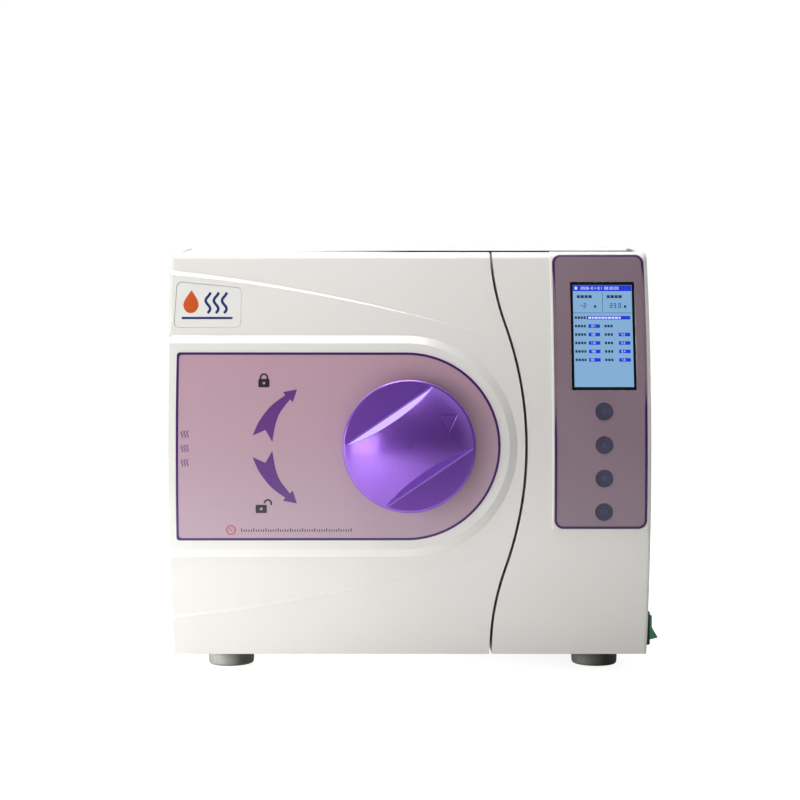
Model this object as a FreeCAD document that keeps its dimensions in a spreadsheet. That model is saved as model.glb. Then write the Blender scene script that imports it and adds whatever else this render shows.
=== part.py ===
"""Benchtop autoclave with a swinging bulged door, a rotary door lock and a control column.

Frame: X to the right seen from the front, Y to the back, Z up. Z = 0 is the bench, X = 0 and
Z = axis_height hold the chamber's axis, and Y = 0 is half way through the cabinet. Millimetres.
"""
import FreeCAD
import Part
import Sketcher
import math
import os
import re

Vector = FreeCAD.Vector
Rotation = FreeCAD.Rotation
Placement = FreeCAD.Placement
ALONG_X = Rotation(Vector(0, 0, 1), Vector(1, 0, 0))
ALONG_Y = Rotation(Vector(1, 0, 0), -90)
ALONG_Z = Rotation()
UP = Vector(0, 0, 1)
BACK = Vector(0, 1, 0)

DIMENSIONS = {
    # cabinet
    "body_width": 480, "hood_width": 476, "hood_top": 436.8, "sheet": 1.5, "hem": 3.7,
    "foot_height": 20, "foot_radius": 24.5, "foot_left": -188.5, "foot_right": 195.5,
    "foot_front": -190, "foot_back": 225, "frame_front": 214, "rear_face": 278,
    "hood_front": 213.5, "floor": 21.5,
    # bulged front mouldings
    "fascia_top": 427, "axis_height": 230, "front_reach": 280, "bulge_height": 223.5,
    "bulge_radius": 790, "shell_back": 218, "shell_wall": 3, "top_round": 12, "side_round": 3.5,
    "ledge_step": 3.2, "ledge_end": 86, "plateau_rise": 4.5, "plateau_bevel": 8,
    "plateau_radius": 110, "plateau_left": -237.2, "film_thick": 0.5, "film_radius": 93.6,
    "film_centre": -3, "film_left": -230.5,
    # seam between the door and the control column
    "seam_middle": 116, "seam_end": 82, "seam_wide_radius": 374, "seam_tight_radius": 249,
    "seam_gap": 2.6,
    # control column
    "column_left": 141, "column_low": 146, "column_rise": 1.2, "label_left": 143.5,
    "label_right": 235.5, "label_low": 148, "label_high": 423.2, "label_round": 9,
    "key_x": 192.5, "key_low": 164.8, "key_pitch": 33.2, "key_radius": 8.3,
    "key_proud": 1.3, "display_x": 193.2, "display_z": 340.2, "display_wide": 59,
    "display_tall": 104, "display_tilt": 8.4, "display_face": -270.6,
    # door hinge
    "hinge_x": -230, "hinge_y": -226, "hinge_pin": 3, "hinge_eye": 5.5, "lug_low": 92,
    "lug_high": 360, "lug_tall": 8,
    # chamber and door plate
    "chamber_radius": 100, "chamber_depth": 360, "chamber_wall": 3, "flange_radius": 120,
    "flange_front": 213, "plate_radius": 111, "gasket_inner": 103.2, "gasket_outer": 109,
    "jacket_inner": 106, "jacket_outer": 121, "band_thick": 2.5,
    "rack_half": 70, "rack_low": 162, "rack_high": 298, "rack_front": -195, "rack_back": 95,
    "rack_bar": 3, "tray_half": 66, "tray_front": -200, "tray_back": 85, "tray_deep": 16, "shelf_low": 180,
    "shelf_pitch": 45,
    # rotary lock
    "knob_radius": 65, "knob_back": 287.4, "knob_base": 14, "knob_dome": 26, "knob_bar": 71,
    "knob_turn": 34, "knob_rim": 2.5, "knob_lean": 19, "spindle_radius": 8, "cam_radius": 58,
    "bolt_angle": 50, "bolt_travel": 18, "bolt_wide": 14, "bolt_inner": 22, "bolt_tip": 114,
    "follower_at": 30, "follower_radius": 4, "keeper_inner": 122, "keeper_deep": 12,
    "interlock_x": -150, "interlock_z": 330, "sensor_z": 130, "interlock_pin": 5,
    # services
    "fan_x": -150, "fan_z": 120, "fan_radius": 54, "lid_x": 140, "lid_y": 170, "lid_wide": 150,
    "lid_deep": 110, "tank_inner": 70, "tank_outer": 228, "tank_front": 60, "tank_back": 236,
    "tank_low": 345, "tank_wall": 2.5, "exhaust_x": 190, "exhaust_z": 70, "drain_x": 190,
    "drain_z": 110, "safety_x": 120, "safety_z": 330, "filter_x": 40, "filter_z": 385,
    "inlet_x": 150, "inlet_z": 80, "rocker_x": 245, "rocker_y": -236, "rocker_z": 45.5,
    "rocker_arm": 12.9, "rocker_wide": 19.6, "rocker_tilt": 15,
}

doc = FreeCAD.newDocument("autoclave")
sheet = doc.addObject("Spreadsheet::Sheet", "dims")
for row, (name, number) in enumerate(DIMENSIONS.items(), start=1):
    sheet.set(f"A{row}", name)
    sheet.set(f"B{row}", str(number))
    sheet.setAlias(f"B{row}", name)
doc.recompute()


def value(text):
    """The number that an expression of the sheet's dimensions works out to."""
    return float(sheet.evalExpression(str(text)))


def bind(thing, prop, text):
    """Tie a property to an expression of the sheet's dimensions."""
    words = re.sub(r"[a-z]\w*", lambda w: "dims." + w[0] if w[0] in DIMENSIONS else w[0], str(text))
    thing.setExpression(prop, words)


def place(thing, corner, rotation=ALONG_Z):
    """Place a primitive at a bound corner with a fixed turn."""
    thing.Placement = Placement(Vector(*(value(c) for c in corner)), rotation)
    for axis, text in zip("xyz", corner):
        bind(thing, f"Placement.Base.{axis}", text)
    return thing


def block(label, low, high):
    """A box between its lowest and its highest corner."""
    made_box = doc.addObject("Part::Box", label)
    for prop, a, b in zip(("Length", "Width", "Height"), low, high):
        bind(made_box, prop, f"({b}) - ({a})")
    return place(made_box, low)


def rod(label, start, radius, length, rotation=ALONG_Z):
    """A round bar that starts at a point and runs along the turned Z axis."""
    bar = doc.addObject("Part::Cylinder", label)
    bind(bar, "Radius", radius)
    bind(bar, "Height", length)
    return place(bar, start, rotation)


def tube(label, start, inner, outer, length, rotation=ALONG_Z):
    """A round bar with a through bore."""
    outside = rod(label + "_outside", start, outer, length, rotation)
    return cut(label, outside, rod(label + "_bore", start, inner, length, rotation))


def cone(label, start, radii, length, rotation=ALONG_Z):
    """A tapered round bar."""
    bar = doc.addObject("Part::Cone", label)
    bind(bar, "Radius1", radii[0])
    bind(bar, "Radius2", radii[1])
    bind(bar, "Height", length)
    return place(bar, start, rotation)


def fuse(label, *parts):
    """One solid from several that touch, or a group of separate solids."""
    joined = doc.addObject("Part::MultiFuse", label)
    joined.Shapes = list(parts)
    return joined


def cut(label, base, *tools):
    """A base less its tools."""
    left = doc.addObject("Part::Cut", label)
    left.Base = base
    left.Tool = tools[0] if len(tools) == 1 else fuse(label + "_tools", *tools)
    return left


def rounded(label, base, radius, chosen):
    """A fillet on the edges that a test picks."""
    doc.recompute()
    fillet = doc.addObject("Part::Fillet", label)
    fillet.Base = base
    numbers = [i for i, edge in enumerate(base.Shape.Edges, start=1) if chosen(edge)]
    fillet.Edges = [(i, radius, radius) for i in numbers]
    return fillet


def upright(edge):
    """True for a straight edge along Z."""
    return isinstance(edge.Curve, Part.Line) and abs(edge.tangentAt(edge.FirstParameter).z) > 0.999


def origin_plane(body, role):
    """One of a body's own origin planes."""
    return next(plane for plane in body.Origin.OriginFeatures if plane.Role == role)


def loop(sketch, corners):
    """A closed run of lines whose corners are bound to the sheet."""
    first = sketch.GeometryCount
    spots = [Vector(value(u), value(v), 0) for u, v in corners]
    count = len(spots)
    for i in range(count):
        sketch.addGeometry(Part.LineSegment(spots[i], spots[(i + 1) % count]))
    for i in range(count):
        sketch.addConstraint(
            Sketcher.Constraint("Coincident", first + i, 2, first + (i + 1) % count, 1))
    for i, (corner, spot) in enumerate(zip(corners, spots)):
        for kind, text, number in (("DistanceX", corner[0], spot.x), ("DistanceY", corner[1], spot.y)):
            pin = sketch.addConstraint(Sketcher.Constraint(kind, first + i, 1, number))
            bind(sketch, f"Constraints[{pin}]", text)


def sketched(body, name, role, *loops):
    """A sketch of closed loops on one of the body's origin planes."""
    sketch = body.newObject("Sketcher::SketchObject", name)
    sketch.AttachmentSupport = (origin_plane(body, role), "")
    sketch.MapMode = "FlatFace"
    for corners in loops:
        loop(sketch, corners)
    doc.recompute()
    return sketch


def turned(label, start, rotation, *loops):
    """A body turned about its own Z axis from outlines of (radius, height)."""
    body = doc.addObject("PartDesign::Body", label)
    sketch = sketched(body, label + "_outline", "XZ_Plane", *loops)
    spin = body.newObject("PartDesign::Revolution", label + "_turn")
    spin.Profile = sketch
    spin.ReferenceAxis = (sketch, ["V_Axis"])
    spin.Angle = 360
    return place(body, start, rotation)


def feature(label, shape):
    """A sub-part whose shape is worked out here because no primitive fits it."""
    part = doc.addObject("Part::Feature", label)
    part.Shape = shape
    part.Placement = shape.Placement
    return part


def size(name):
    """A driving dimension as a number."""
    return float(sheet.get(name))


# ---- bulged front mouldings -------------------------------------------------------------------

def bulge_solid(grow, low_x, high_x):
    """What lies behind the bulged front face grown by grow, with its top and side edges rounded."""
    radius = size("bulge_radius") + grow
    centre_y = size("bulge_radius") - size("front_reach")
    middle = size("bulge_height")
    top = size("fascia_top") + grow
    low = size("foot_height") - grow
    back = -size("frame_front") + 10

    def front(height):
        return centre_y - math.sqrt(radius ** 2 - (height - middle) ** 2)

    spots = [Vector(low_x, front(low), low), Vector(low_x, centre_y - radius, middle),
             Vector(low_x, front(top), top), Vector(low_x, back, top), Vector(low_x, back, low)]
    outline = [Part.Arc(*spots[:3]).toShape()]
    outline += [Part.makeLine(spots[i], spots[(i + 1) % 5]) for i in (2, 3, 4)]
    solid = Part.Face(Part.Wire(outline)).extrude(Vector(high_x - low_x, 0, 0))
    brow = [e for e in solid.Edges if e.BoundBox.ZMin > top - 1 and e.BoundBox.YMax < front(top) + 1
            and e.BoundBox.XLength > 1]
    solid = solid.makeFillet(size("top_round") + grow, brow)
    side_round = size("side_round") + grow
    if side_round < 1:
        return solid
    flanks = [e for e in solid.Edges if e.BoundBox.XLength < 1e-3 and e.BoundBox.YMin < back - 30
              and e.BoundBox.ZLength > 2]
    return solid.makeFillet(side_round, flanks)


def leaned(solid):
    """The solid turned a little about an upright line, so that it stands proud at the left."""
    turn = math.degrees(math.atan(size("ledge_step") / (size("ledge_end") + size("body_width") / 2)))
    copy = solid.copy()
    copy.rotate(Vector(size("ledge_end"), -size("front_reach"), 0), UP, turn)
    return copy


def slab(outline, near=-330, deep=140):
    """A closed outline in X and Z run back through the front mouldings."""
    face = Part.Face(Part.Wire(Part.sortEdges(outline)[0]))
    face.translate(Vector(0, near, 0))
    return face.extrude(Vector(0, deep, 0))


def box(low, high):
    """A plain box shape from two corners."""
    return Part.makeBox(*(b - a for a, b in zip(low, high)), Vector(*low))


def spot(x, z):
    """A point of an outline in X and Z."""
    return Vector(x, 0, z)


def lines(*spots):
    """Straight edges through the spots."""
    return [Part.makeLine(a, b) for a, b in zip(spots, spots[1:])]


def seam(shift):
    """The S-shaped seam from below the mouldings to above them, shifted to the right."""
    wide = size("seam_wide_radius")
    tight = size("seam_tight_radius")
    middle = size("axis_height")
    reach = wide + tight
    across = reach - size("seam_middle") + size("seam_end")
    rise = math.sqrt(reach ** 2 - across ** 2)
    centre = spot(size("seam_middle") - wide, middle)

    def half(sign):
        toward = spot(across, sign * rise)
        toward.normalize()
        join = centre + toward * (wide + shift)
        end_centre = spot(size("seam_end") + tight, middle + sign * rise)
        between = spot(-across - reach, -sign * rise)
        between.normalize()
        bend = end_centre + between * (tight - shift)
        end = spot(size("seam_end") + shift, middle + sign * rise)
        return join, Part.Arc(join, bend, end).toShape(), end, spot(end.x, middle + sign * 260)

    low_join, low_arc, low_end, low_far = half(-1)
    high_join, high_arc, high_end, high_far = half(1)
    belly = Part.Arc(low_join, spot(size("seam_middle") + shift, middle), high_join).toShape()
    tail = lines(low_far, low_end)
    head = lines(high_end, high_far)
    return tail + [low_arc, belly, high_arc] + head, low_far, high_far


def beside_seam(shift, far_x):
    """Everything between the shifted seam and far_x."""
    edges, low, high = seam(shift)
    return slab(edges + lines(high, spot(far_x, high.z), spot(far_x, low.z), low))


def ledge_cutter(side):
    """What is cleared off the leaned zone above (side 1) or below (side -1) a character ledge."""
    middle = size("axis_height")
    over = side * 300
    curve = [spot(-260, middle + side * 171.6), spot(-83, middle + side * 150.7),
             spot(130, middle + side * 103.5)]
    edge = Part.Arc(*curve).toShape()
    rest = lines(curve[2], spot(130, middle + over), spot(-260, middle + over), curve[0])
    face = Part.Face(Part.Wire([edge] + rest))
    back_off = Vector(0, 60, side * 60)
    face.translate(Vector(0, -265, 0) + back_off)
    return face.extrude(back_off * -2.2)


def stadium(radius, left):
    """Outline with a flat left end and a half-round right end about the door's lock axis."""
    centre = size("film_centre")
    middle = size("axis_height")
    low = spot(centre, middle - radius)
    high = spot(centre, middle + radius)
    nose = Part.Arc(low, spot(centre + radius, middle), high).toShape()
    return slab([nose] + lines(high, spot(left, high.z), spot(left, low.z), low))


def along_y(solid, x_below):
    """Edges along Y that lie left of x_below."""
    return [e for e in solid.Edges if e.BoundBox.YLength > 100 and e.BoundBox.XMax < x_below]


BADGE_CORNERS = ((-232.6, 395.2), (-167.8, 388.7), (-167.8, 348), (-234.6, 348))
BADGE_ROUND = 5.5
BADGE_DEPTH = 1.0


def badge_outline(inset):
    """The rounded four-cornered outline of the maker's plate."""
    cx = sum(x for x, z in BADGE_CORNERS) / 4
    cz = sum(z for x, z in BADGE_CORNERS) / 4
    spots = [spot(x - math.copysign(inset, x - cx), z - math.copysign(inset, z - cz))
             for x, z in BADGE_CORNERS]
    solid = slab(lines(*spots, spots[0]))
    return solid.makeFillet(BADGE_ROUND, along_y(solid, 0))


def door_front():
    """The door's whole outer form: bulge, leaned zone between the ledges, and raised plateau."""
    half = size("body_width") / 2
    zone = leaned(bulge_solid(0, -half, half))
    zone = zone.cut(ledge_cutter(1)).cut(ledge_cutter(-1))
    rise = size("plateau_rise")
    left = size("plateau_left")
    plateau = leaned(bulge_solid(rise, -half - 5, half)).common(stadium(size("plateau_radius"), left))
    brow = [e for e in plateau.Edges if e.BoundBox.YMax < -250 and e.BoundBox.XMax > left + 1]
    plateau = plateau.makeChamfer(size("plateau_bevel"), rise - 0.2, brow)
    return bulge_solid(0, -half, half).fuse([zone, plateau])


def door_cover():
    """Door moulding: hollow behind, open at the back, cut for the hinge, knob and maker's plate."""
    half = size("body_width") / 2
    wall = size("shell_wall")
    gap = size("seam_gap") / 2
    back = -size("shell_back")
    middle = size("axis_height")
    step_low = middle - size("plateau_radius")
    step_high = middle + size("plateau_radius")
    left = size("plateau_left")
    outer = door_front().common(beside_seam(-gap, -half - 20))
    outer = outer.common(box((-half, -330, 0), (half, back, 500)))
    cavity = bulge_solid(-wall, wall - half, half).common(beside_seam(-gap - wall, -half - 20))
    cavity = cavity.cut(box((-half, -330, step_low - 2), (left + wall + 0.5, -200, step_high + 2)))
    shell = outer.cut(cavity)
    shell = shell.cut(box((-half - 1, -330, step_low), (left, -200, step_high)))
    shell = shell.cut(badge_outline(0).cut(leaned(bulge_solid(-BADGE_DEPTH, -half, half))))
    corner = Part.makePolygon([Vector(-half - 1, back - 6, 0), Vector(-half + 6, back + 1, 0),
                               Vector(-half - 1, back + 1, 0), Vector(-half - 1, back - 6, 0)])
    shell = shell.cut(Part.Face(corner).extrude(Vector(0, 0, 500)))
    for low in ("lug_low", "lug_high"):
        shell = shell.cut(box((-half - 1, size("hinge_y") - 8, size(low) - 1.5),
                              (size("hinge_x") + 8, back + 1, size(low) + size("lug_tall") + 1.5)))
    return shell.cut(Part.makeCylinder(17, 80, Vector(0, -300, middle), BACK))


def door_film():
    """Printed label sheet that follows the plateau."""
    half = size("body_width") / 2
    rise = size("plateau_rise")
    outline = stadium(size("film_radius"), size("film_left"))
    outline = outline.makeFillet(3, along_y(outline, size("film_left") + 1))
    outline = outline.cut(Part.makeCylinder(17, 80, Vector(0, -320, size("axis_height")), BACK))
    sheet_on = leaned(bulge_solid(rise + size("film_thick"), -half - 5, half))
    return sheet_on.cut(leaned(bulge_solid(rise, -half - 6, half + 1))).common(outline)


def badge():
    """Maker's plate set into its recess."""
    half = size("body_width") / 2
    outer = leaned(bulge_solid(-0.4, -half, half))
    return badge_outline(0.3).common(outer).cut(leaned(bulge_solid(-BADGE_DEPTH, -half, half)))


def door_liner():
    """Flat rear cover of the door, open around the plate, the keepers and the hinge lugs."""
    wall = size("shell_wall")
    back = -size("shell_back")
    middle = size("axis_height")
    half = size("body_width") / 2
    plate = beside_seam(-size("seam_gap") / 2 - wall - 0.3, -half + 6.6)
    plate = plate.common(box((-half, back - wall, size("foot_height") + wall + 0.3),
                             (half, back, size("fascia_top") - wall - 0.3)))
    plate = plate.cut(Part.makeCylinder(size("plate_radius") + 1, 30, Vector(0, back - 20, middle), BACK))
    for window in keeper_windows():
        plate = plate.cut(window)
    pin_hole = Vector(size("interlock_x"), back - 20, size("interlock_z"))
    plate = plate.cut(Part.makeCylinder(size("interlock_pin") + 0.8, 30, pin_hole, BACK))
    for low in ("lug_low", "lug_high"):
        plate = plate.cut(box((-half, back - 10, size(low) - 13.5),
                              (size("hinge_x") + 8, back + 1, size(low) + size("lug_tall") + 13.5)))
    return plate


def about_axis(solid, angle):
    """A piece drawn along +X from the lock's axis, turned to an angle above the horizontal."""
    copy = solid.copy()
    copy.rotate(Vector(0, 0, 0), BACK, -angle)
    copy.translate(Vector(0, 0, size("axis_height")))
    return copy


def bolt_angles():
    """The four bolts' angles, counted anticlockwise seen from the front."""
    lean = size("bolt_angle")
    return (lean, 180 - lean, 180 + lean, 360 - lean)


def keeper_windows():
    """Room for the fixed keepers in the door's inner plates."""
    inner = size("keeper_inner") - 7
    outer = size("keeper_inner") + size("keeper_deep") + 7
    return [about_axis(box((inner, -232, -17), (outer, -200, 17)), a) for a in bolt_angles()]


# ---- control column ---------------------------------------------------------------------------

def column_front(grow):
    """The column's outer form without its raised label field, grown by grow."""
    half = size("body_width") / 2
    return bulge_solid(grow, -half, half)


def column_holes():
    """Display window and key holes."""
    wide = size("display_wide") / 2 + 2.8
    tall = size("display_tall") / 2 + 2.6
    x = size("display_x")
    z = size("display_z")
    holes = [box((x - wide, -330, z - tall), (x + wide, -240, z + tall))]
    for height in key_heights():
        at = Vector(size("key_x"), -330, value(height))
        holes.append(Part.makeCylinder(size("key_radius") + 0.3, 90, at, BACK))
    return holes


def control_column():
    """Control moulding right of the seam, with a raised field for its label sheet."""
    half = size("body_width") / 2
    wall = size("shell_wall")
    gap = size("seam_gap") / 2
    back = -size("frame_front") - 0.2
    field = bulge_solid(size("column_rise"), -half, half)
    field = field.common(box((size("column_left"), -330, size("column_low")), (half, -200, 500)))
    rim = [e for e in field.Edges if e.BoundBox.YMax < -230
           and (e.BoundBox.XMax < size("column_left") + 1e-3 or e.BoundBox.ZMax < size("column_low") + 1e-3)]
    rim = [e for e in rim if e.BoundBox.DiagonalLength > 60]
    field = field.makeChamfer(size("column_rise") - 0.1, 4, rim)
    outer = column_front(0).fuse(field).common(beside_seam(gap, half + 20))
    outer = outer.common(box((-half, -330, 0), (half, back, size("fascia_top"))))
    cavity = column_front(-wall).common(beside_seam(gap + wall, half - wall))
    shell = outer.cut(cavity)
    for hole in column_holes() + [switch_opening()]:
        shell = shell.cut(hole)
    return shell


def switch_opening():
    """Room for the power switch in the column's right wall."""
    half = size("body_width") / 2
    y, z = size("rocker_y"), size("rocker_z")
    return box((half - 10, y - 11.2, z - 15.2), (half + 10, y + 11.2, z + 15.2))


def column_film():
    """Printed label sheet on the column, with a display window and key holes."""
    rise = size("column_rise")
    left, right, low, high = (size("label_" + side) for side in ("left", "right", "low", "high"))
    corners = [spot(left, low), spot(right, low), spot(right, high), spot(left, high)]
    outline = slab(lines(*corners, corners[0]))
    outline = outline.makeFillet(size("label_round"), along_y(outline, right + 1))
    film = column_front(rise + size("film_thick")).cut(column_front(rise)).common(outline)
    for hole in column_holes():
        film = film.cut(hole)
    return film


def key(level):
    """A key cap that follows the bulge, with a wide foot behind the moulding."""
    x = size("key_x")
    height = value(level)
    cap = Part.makeCylinder(size("key_radius"), 60, Vector(x, -320, height), BACK)
    cap = cap.common(column_front(size("column_rise") + size("key_proud")))
    cap = cap.common(box((x - 20, -330, height - 20), (x + 20, -273.5, height + 20)))
    foot = Part.makeCylinder(size("key_radius") + 1.5, 1.5, Vector(x, -275, height), BACK)
    inside = column_front(-size("shell_wall") - 0.3)
    return cap.fuse(foot.common(inside)).removeSplitter()


# ---- knob and rotary lock ---------------------------------------------------------------------

def knob():
    """Domed disc with a segment cleared on each side of its grip, and an engraved triangle."""
    radius, base, dome, rim = (size("knob_" + part) for part in ("radius", "base", "dome", "rim"))
    flat = radius - rim
    ball = (flat ** 2 + dome ** 2) / (2 * dome)
    low = base + dome - ball
    diagonal = rim / math.sqrt(2)
    top = Vector(0, 0, base + dome)
    shoulder = Part.Arc(Vector(radius, 0, base - rim), Vector(flat + diagonal, 0, base - rim + diagonal),
                        Vector(flat, 0, base)).toShape()
    crown = Part.Arc(Vector(flat, 0, base), Vector(flat / 2, 0, low + math.sqrt(ball ** 2 - flat ** 2 / 4)),
                     top).toShape()
    sides = [Vector(0, 0, 0), Vector(radius, 0, 0), Vector(radius, 0, base - rim)]
    outline = Part.Wire(lines(*sides) + [shoulder, crown, Part.makeLine(top, sides[0])])
    body = Part.Face(outline).revolve(Vector(0, 0, 0), UP, 360)
    for side in (-1, 1):
        body = body.cut(grip_cutter(side))
    body = body.cut(arrow_ring().cut(Part.makeSphere(ball - 0.8, Vector(0, 0, low))))
    body = body.cut(Part.makeCylinder(size("spindle_radius"), base + 10))
    body.rotate(Vector(0, 0, 0), UP, size("knob_turn"))
    body.rotate(Vector(0, 0, 0), Vector(1, 0, 0), 90)
    body.translate(Vector(0, -size("knob_back"), size("axis_height")))
    return body


def grip_cutter(side):
    """What is cleared beside the grip: a leaning wall that runs into the flat with a round corner."""
    reach = 2 * size("knob_radius")
    base, tall = size("knob_base"), size("knob_dome") + 10
    foot = size("knob_bar") / 2
    lean = tall * math.tan(math.radians(size("knob_lean")))
    corners = [Vector(-reach, side * y, z) for y, z in (
        (foot, base), (foot - lean, base + tall), (reach, base + tall), (reach, base))]
    wedge = Part.Face(Part.Wire(lines(*corners, corners[0]))).extrude(Vector(2 * reach, 0, 0))
    heel = [e for e in wedge.Edges if e.BoundBox.XLength > reach and abs(e.BoundBox.YMin - side * foot) < 0.1
            and e.BoundBox.ZMax < base + 0.1]
    return wedge.makeFillet(3, heel)


def arrow_ring():
    """The engraved triangle as an upright prism ring, turned with the grip."""
    corners = [Vector(27, 31.2, 0), Vector(46.7, 31.2, 0), Vector(38.1, 13.6, 0)]
    ring = Part.Face(Part.Wire(lines(*corners, corners[0]))).extrude(Vector(0, 0, 80))
    centre = (corners[0] + corners[1] + corners[2]) * (1 / 3)
    inner = ring.copy()
    inner.translate(-centre)
    inner.scale(0.72)
    inner.translate(centre - UP)
    ring = ring.cut(inner)
    ring.rotate(Vector(0, 0, 0), UP, -size("knob_turn"))
    return ring


def spiral_slot():
    """One slot of the cam disc, drawn from its lead-in to its end at a steady pitch."""
    pitch = size("bolt_travel") / (math.pi / 2)
    half_width = size("follower_radius") + 0.7
    lead = 0.16
    turns = [-lead + i * (math.pi / 2 + 2 * lead) / 10 for i in range(11)]

    def side(sign):
        spots = []
        for turn in turns:
            out = size("follower_at") + pitch * turn + sign * half_width
            spots.append(spot(out * math.cos(turn), out * math.sin(turn)))
        curve = Part.BSplineCurve()
        curve.interpolate(spots)
        return curve.toShape(), spots

    inner, inner_spots = side(-1)
    outer, outer_spots = side(1)
    ends = [Part.makeLine(inner_spots[-1], outer_spots[-1]), Part.makeLine(outer_spots[0], inner_spots[0])]
    return slab([inner, outer] + ends)


def cam_disc():
    """Disc with one spiral slot for each bolt's follower pin."""
    middle = Vector(0, -246, size("axis_height"))
    disc = Part.makeCylinder(size("cam_radius"), 6, middle, BACK)
    for angle in bolt_angles():
        disc = disc.cut(about_axis(spiral_slot(), angle))
    return disc.cut(Part.makeCylinder(size("spindle_radius"), 20, middle - BACK * 5, BACK))


def bolt(angle):
    """Locking bolt with its follower pin, drawn back."""
    half = size("bolt_wide") / 2
    bar = box((size("bolt_inner"), -237, -half), (size("bolt_tip"), -229, half))
    nose = [e for e in bar.Edges if e.BoundBox.XMin > size("bolt_tip") - 1]
    bar = bar.makeFillet(2, nose)
    pin = Part.makeCylinder(size("follower_radius"), 10.5, Vector(size("follower_at"), -247, 0), BACK)
    return about_axis(bar.fuse(pin), angle)


def bolt_guides():
    """Bridges on the carrier that the bolts slide through."""
    half = size("bolt_wide") / 2
    bridge = box((84, -240, -half - 5), (104, -227, half + 5))
    bridge = bridge.cut(box((80, -237.4, -half - 0.3), (110, -226, half + 0.3)))
    return [about_axis(bridge, a) for a in bolt_angles()]


def lock_keepers():
    """Blocks on the front frame with a window for each bolt's nose."""
    half = size("bolt_wide") / 2
    inner = size("keeper_inner")
    outer = inner + size("keeper_deep")
    front = -size("frame_front")
    block_shape = box((inner, -241, -half - 4), (outer, front, half + 4))
    window = box((inner - 5, -237.6, -half - 0.6), (outer + 5, -228.4, half + 0.6))
    block_shape = block_shape.cut(window)
    return Part.makeCompound([about_axis(block_shape, a) for a in bolt_angles()])


def carrier_plate():
    """Steel plate inside the door that carries the lock and joins it to the hinge arms."""
    middle = size("axis_height")
    plate = Part.makeCylinder(size("plate_radius") - 3, 3, Vector(0, -227, middle), BACK)
    plate = plate.fuse(box((size("hinge_x") + 8, -227, 76), (-50, -224, 384)))
    for window in keeper_windows():
        plate = plate.cut(window)
    return plate.fuse(bolt_guides() + hinge_arms()).removeSplitter()


def hinge_arms():
    """Door-side knuckles above and below each fixed lug, with arms to the carrier plate."""
    x = size("hinge_x")
    y = size("hinge_y")
    eye = size("hinge_eye")
    pieces = []
    for low in (size("lug_low"), size("lug_high")):
        high = low + size("lug_tall")
        arm = box((x + 8, y - eye, low - 12), (x + 20, -227, high + 12))
        for foot in (low - 12, high + 0.5):
            arm = arm.fuse(Part.makeCylinder(eye, 11.5, Vector(x, y, foot)))
            arm = arm.fuse(box((x, y - eye, foot), (x + 8, -227, foot + 11.5)))
        pieces.append(arm.cut(Part.makeCylinder(size("hinge_pin") + 0.05, 60, Vector(x, y, low - 20))))
    return pieces


def hinge_brackets():
    """Fixed lugs on the front frame."""
    pieces = []
    for end in ("low", "high"):
        low = f"lug_{end}"
        eye = rod(f"lug_eye_{end}", ("hinge_x", "hinge_y", low), "hinge_eye", "lug_tall")
        web = block(f"lug_web_{end}", ("hinge_x - hinge_eye", "hinge_y", low),
                    ("hinge_x + hinge_eye", "-frame_front", f"{low} + lug_tall"))
        hole = rod(f"lug_hole_{end}", ("hinge_x", "hinge_y", f"{low} - 5"), "hinge_pin", "lug_tall + 10")
        pieces.append(cut(f"lug_{end}", fuse(f"lug_blank_{end}", eye, web), hole))
    return fuse("hinge_brackets", *pieces)


# ---- cabinet ----------------------------------------------------------------------------------

def long_brow(edge):
    """True for a long edge along Y at the top of the cabinet."""
    return edge.BoundBox.YLength > 100 and edge.BoundBox.ZMin > size("hood_top") - 10


def plate_corner(edge):
    """True for the short top corner edge of a plate that faces the front."""
    span = edge.BoundBox
    return span.YLength > 1 and span.XLength < 1e-3 and span.ZLength < 1e-3 and span.ZMin > size("fascia_top")


def hood():
    """Folded cover: top and both sides in one sheet with a front hem, open over the tank filler."""
    half = "hood_width / 2"
    blank = block("hood_blank", (f"-{half}", "-hood_front", 22), (half, "rear_face", "hood_top"))
    room = block("hood_room", (f"sheet - {half}", "-hood_front - 1", 0),
                 (f"{half} - sheet", "rear_face + 1", "hood_top - sheet"))
    opening = block("hood_opening", ("lid_x - 55", "lid_y - 35", "hood_top - 20"),
                    ("lid_x + 55", "lid_y + 35", "hood_top + 5"))
    slots = []
    for row in range(9):
        start = 40 + row * 18
        for side, low in (("left", f"-{half} - 1"), ("right", f"{half} - 4")):
            slots.append(block(f"hood_slot_{side}_{row}", (low, start, 90), (f"{low} + 5", start + 5, 190)))
    cover = cut("hood_cover", rounded("hood_form", blank, 10, long_brow),
                rounded("hood_hollow", room, 8.5, long_brow), opening, *slots)
    hem = block("hood_hem", (f"12 - {half}", "-hood_front", "hood_top - hem"),
                (f"{half} - 12", "6 - hood_front", "hood_top - sheet"))
    return fuse("outer_hood", cover, hem)


def rear_hole(name, radius):
    """A round hole through the rear panel at a named port."""
    return rod(name + "_port", (name + "_x", "rear_face - 10", name + "_z"), radius, 20, ALONG_Y)


def rear_panel():
    """Rear plate with openings for the fan, mains inlet, spigots, filter and safety valve."""
    half = "(hood_width / 2 - sheet - 0.2)"
    plate = block("rear_plate", (f"-{half}", "rear_face - sheet", 22),
                  (half, "rear_face", "hood_top - sheet - 0.2"))
    window = block("inlet_window", ("inlet_x - 14", "rear_face - 10", "inlet_z - 11"),
                   ("inlet_x + 14", "rear_face + 10", "inlet_z + 11"))
    holes = [rear_hole("exhaust", 6.2), rear_hole("drain", 6.2), rear_hole("safety", 8.2),
             rear_hole("filter", 8.2), rear_hole("fan", "fan_radius + 1")]
    return cut("rear_panel", rounded("rear_plate_form", plate, 8.3, plate_corner), window, *holes)


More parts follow.
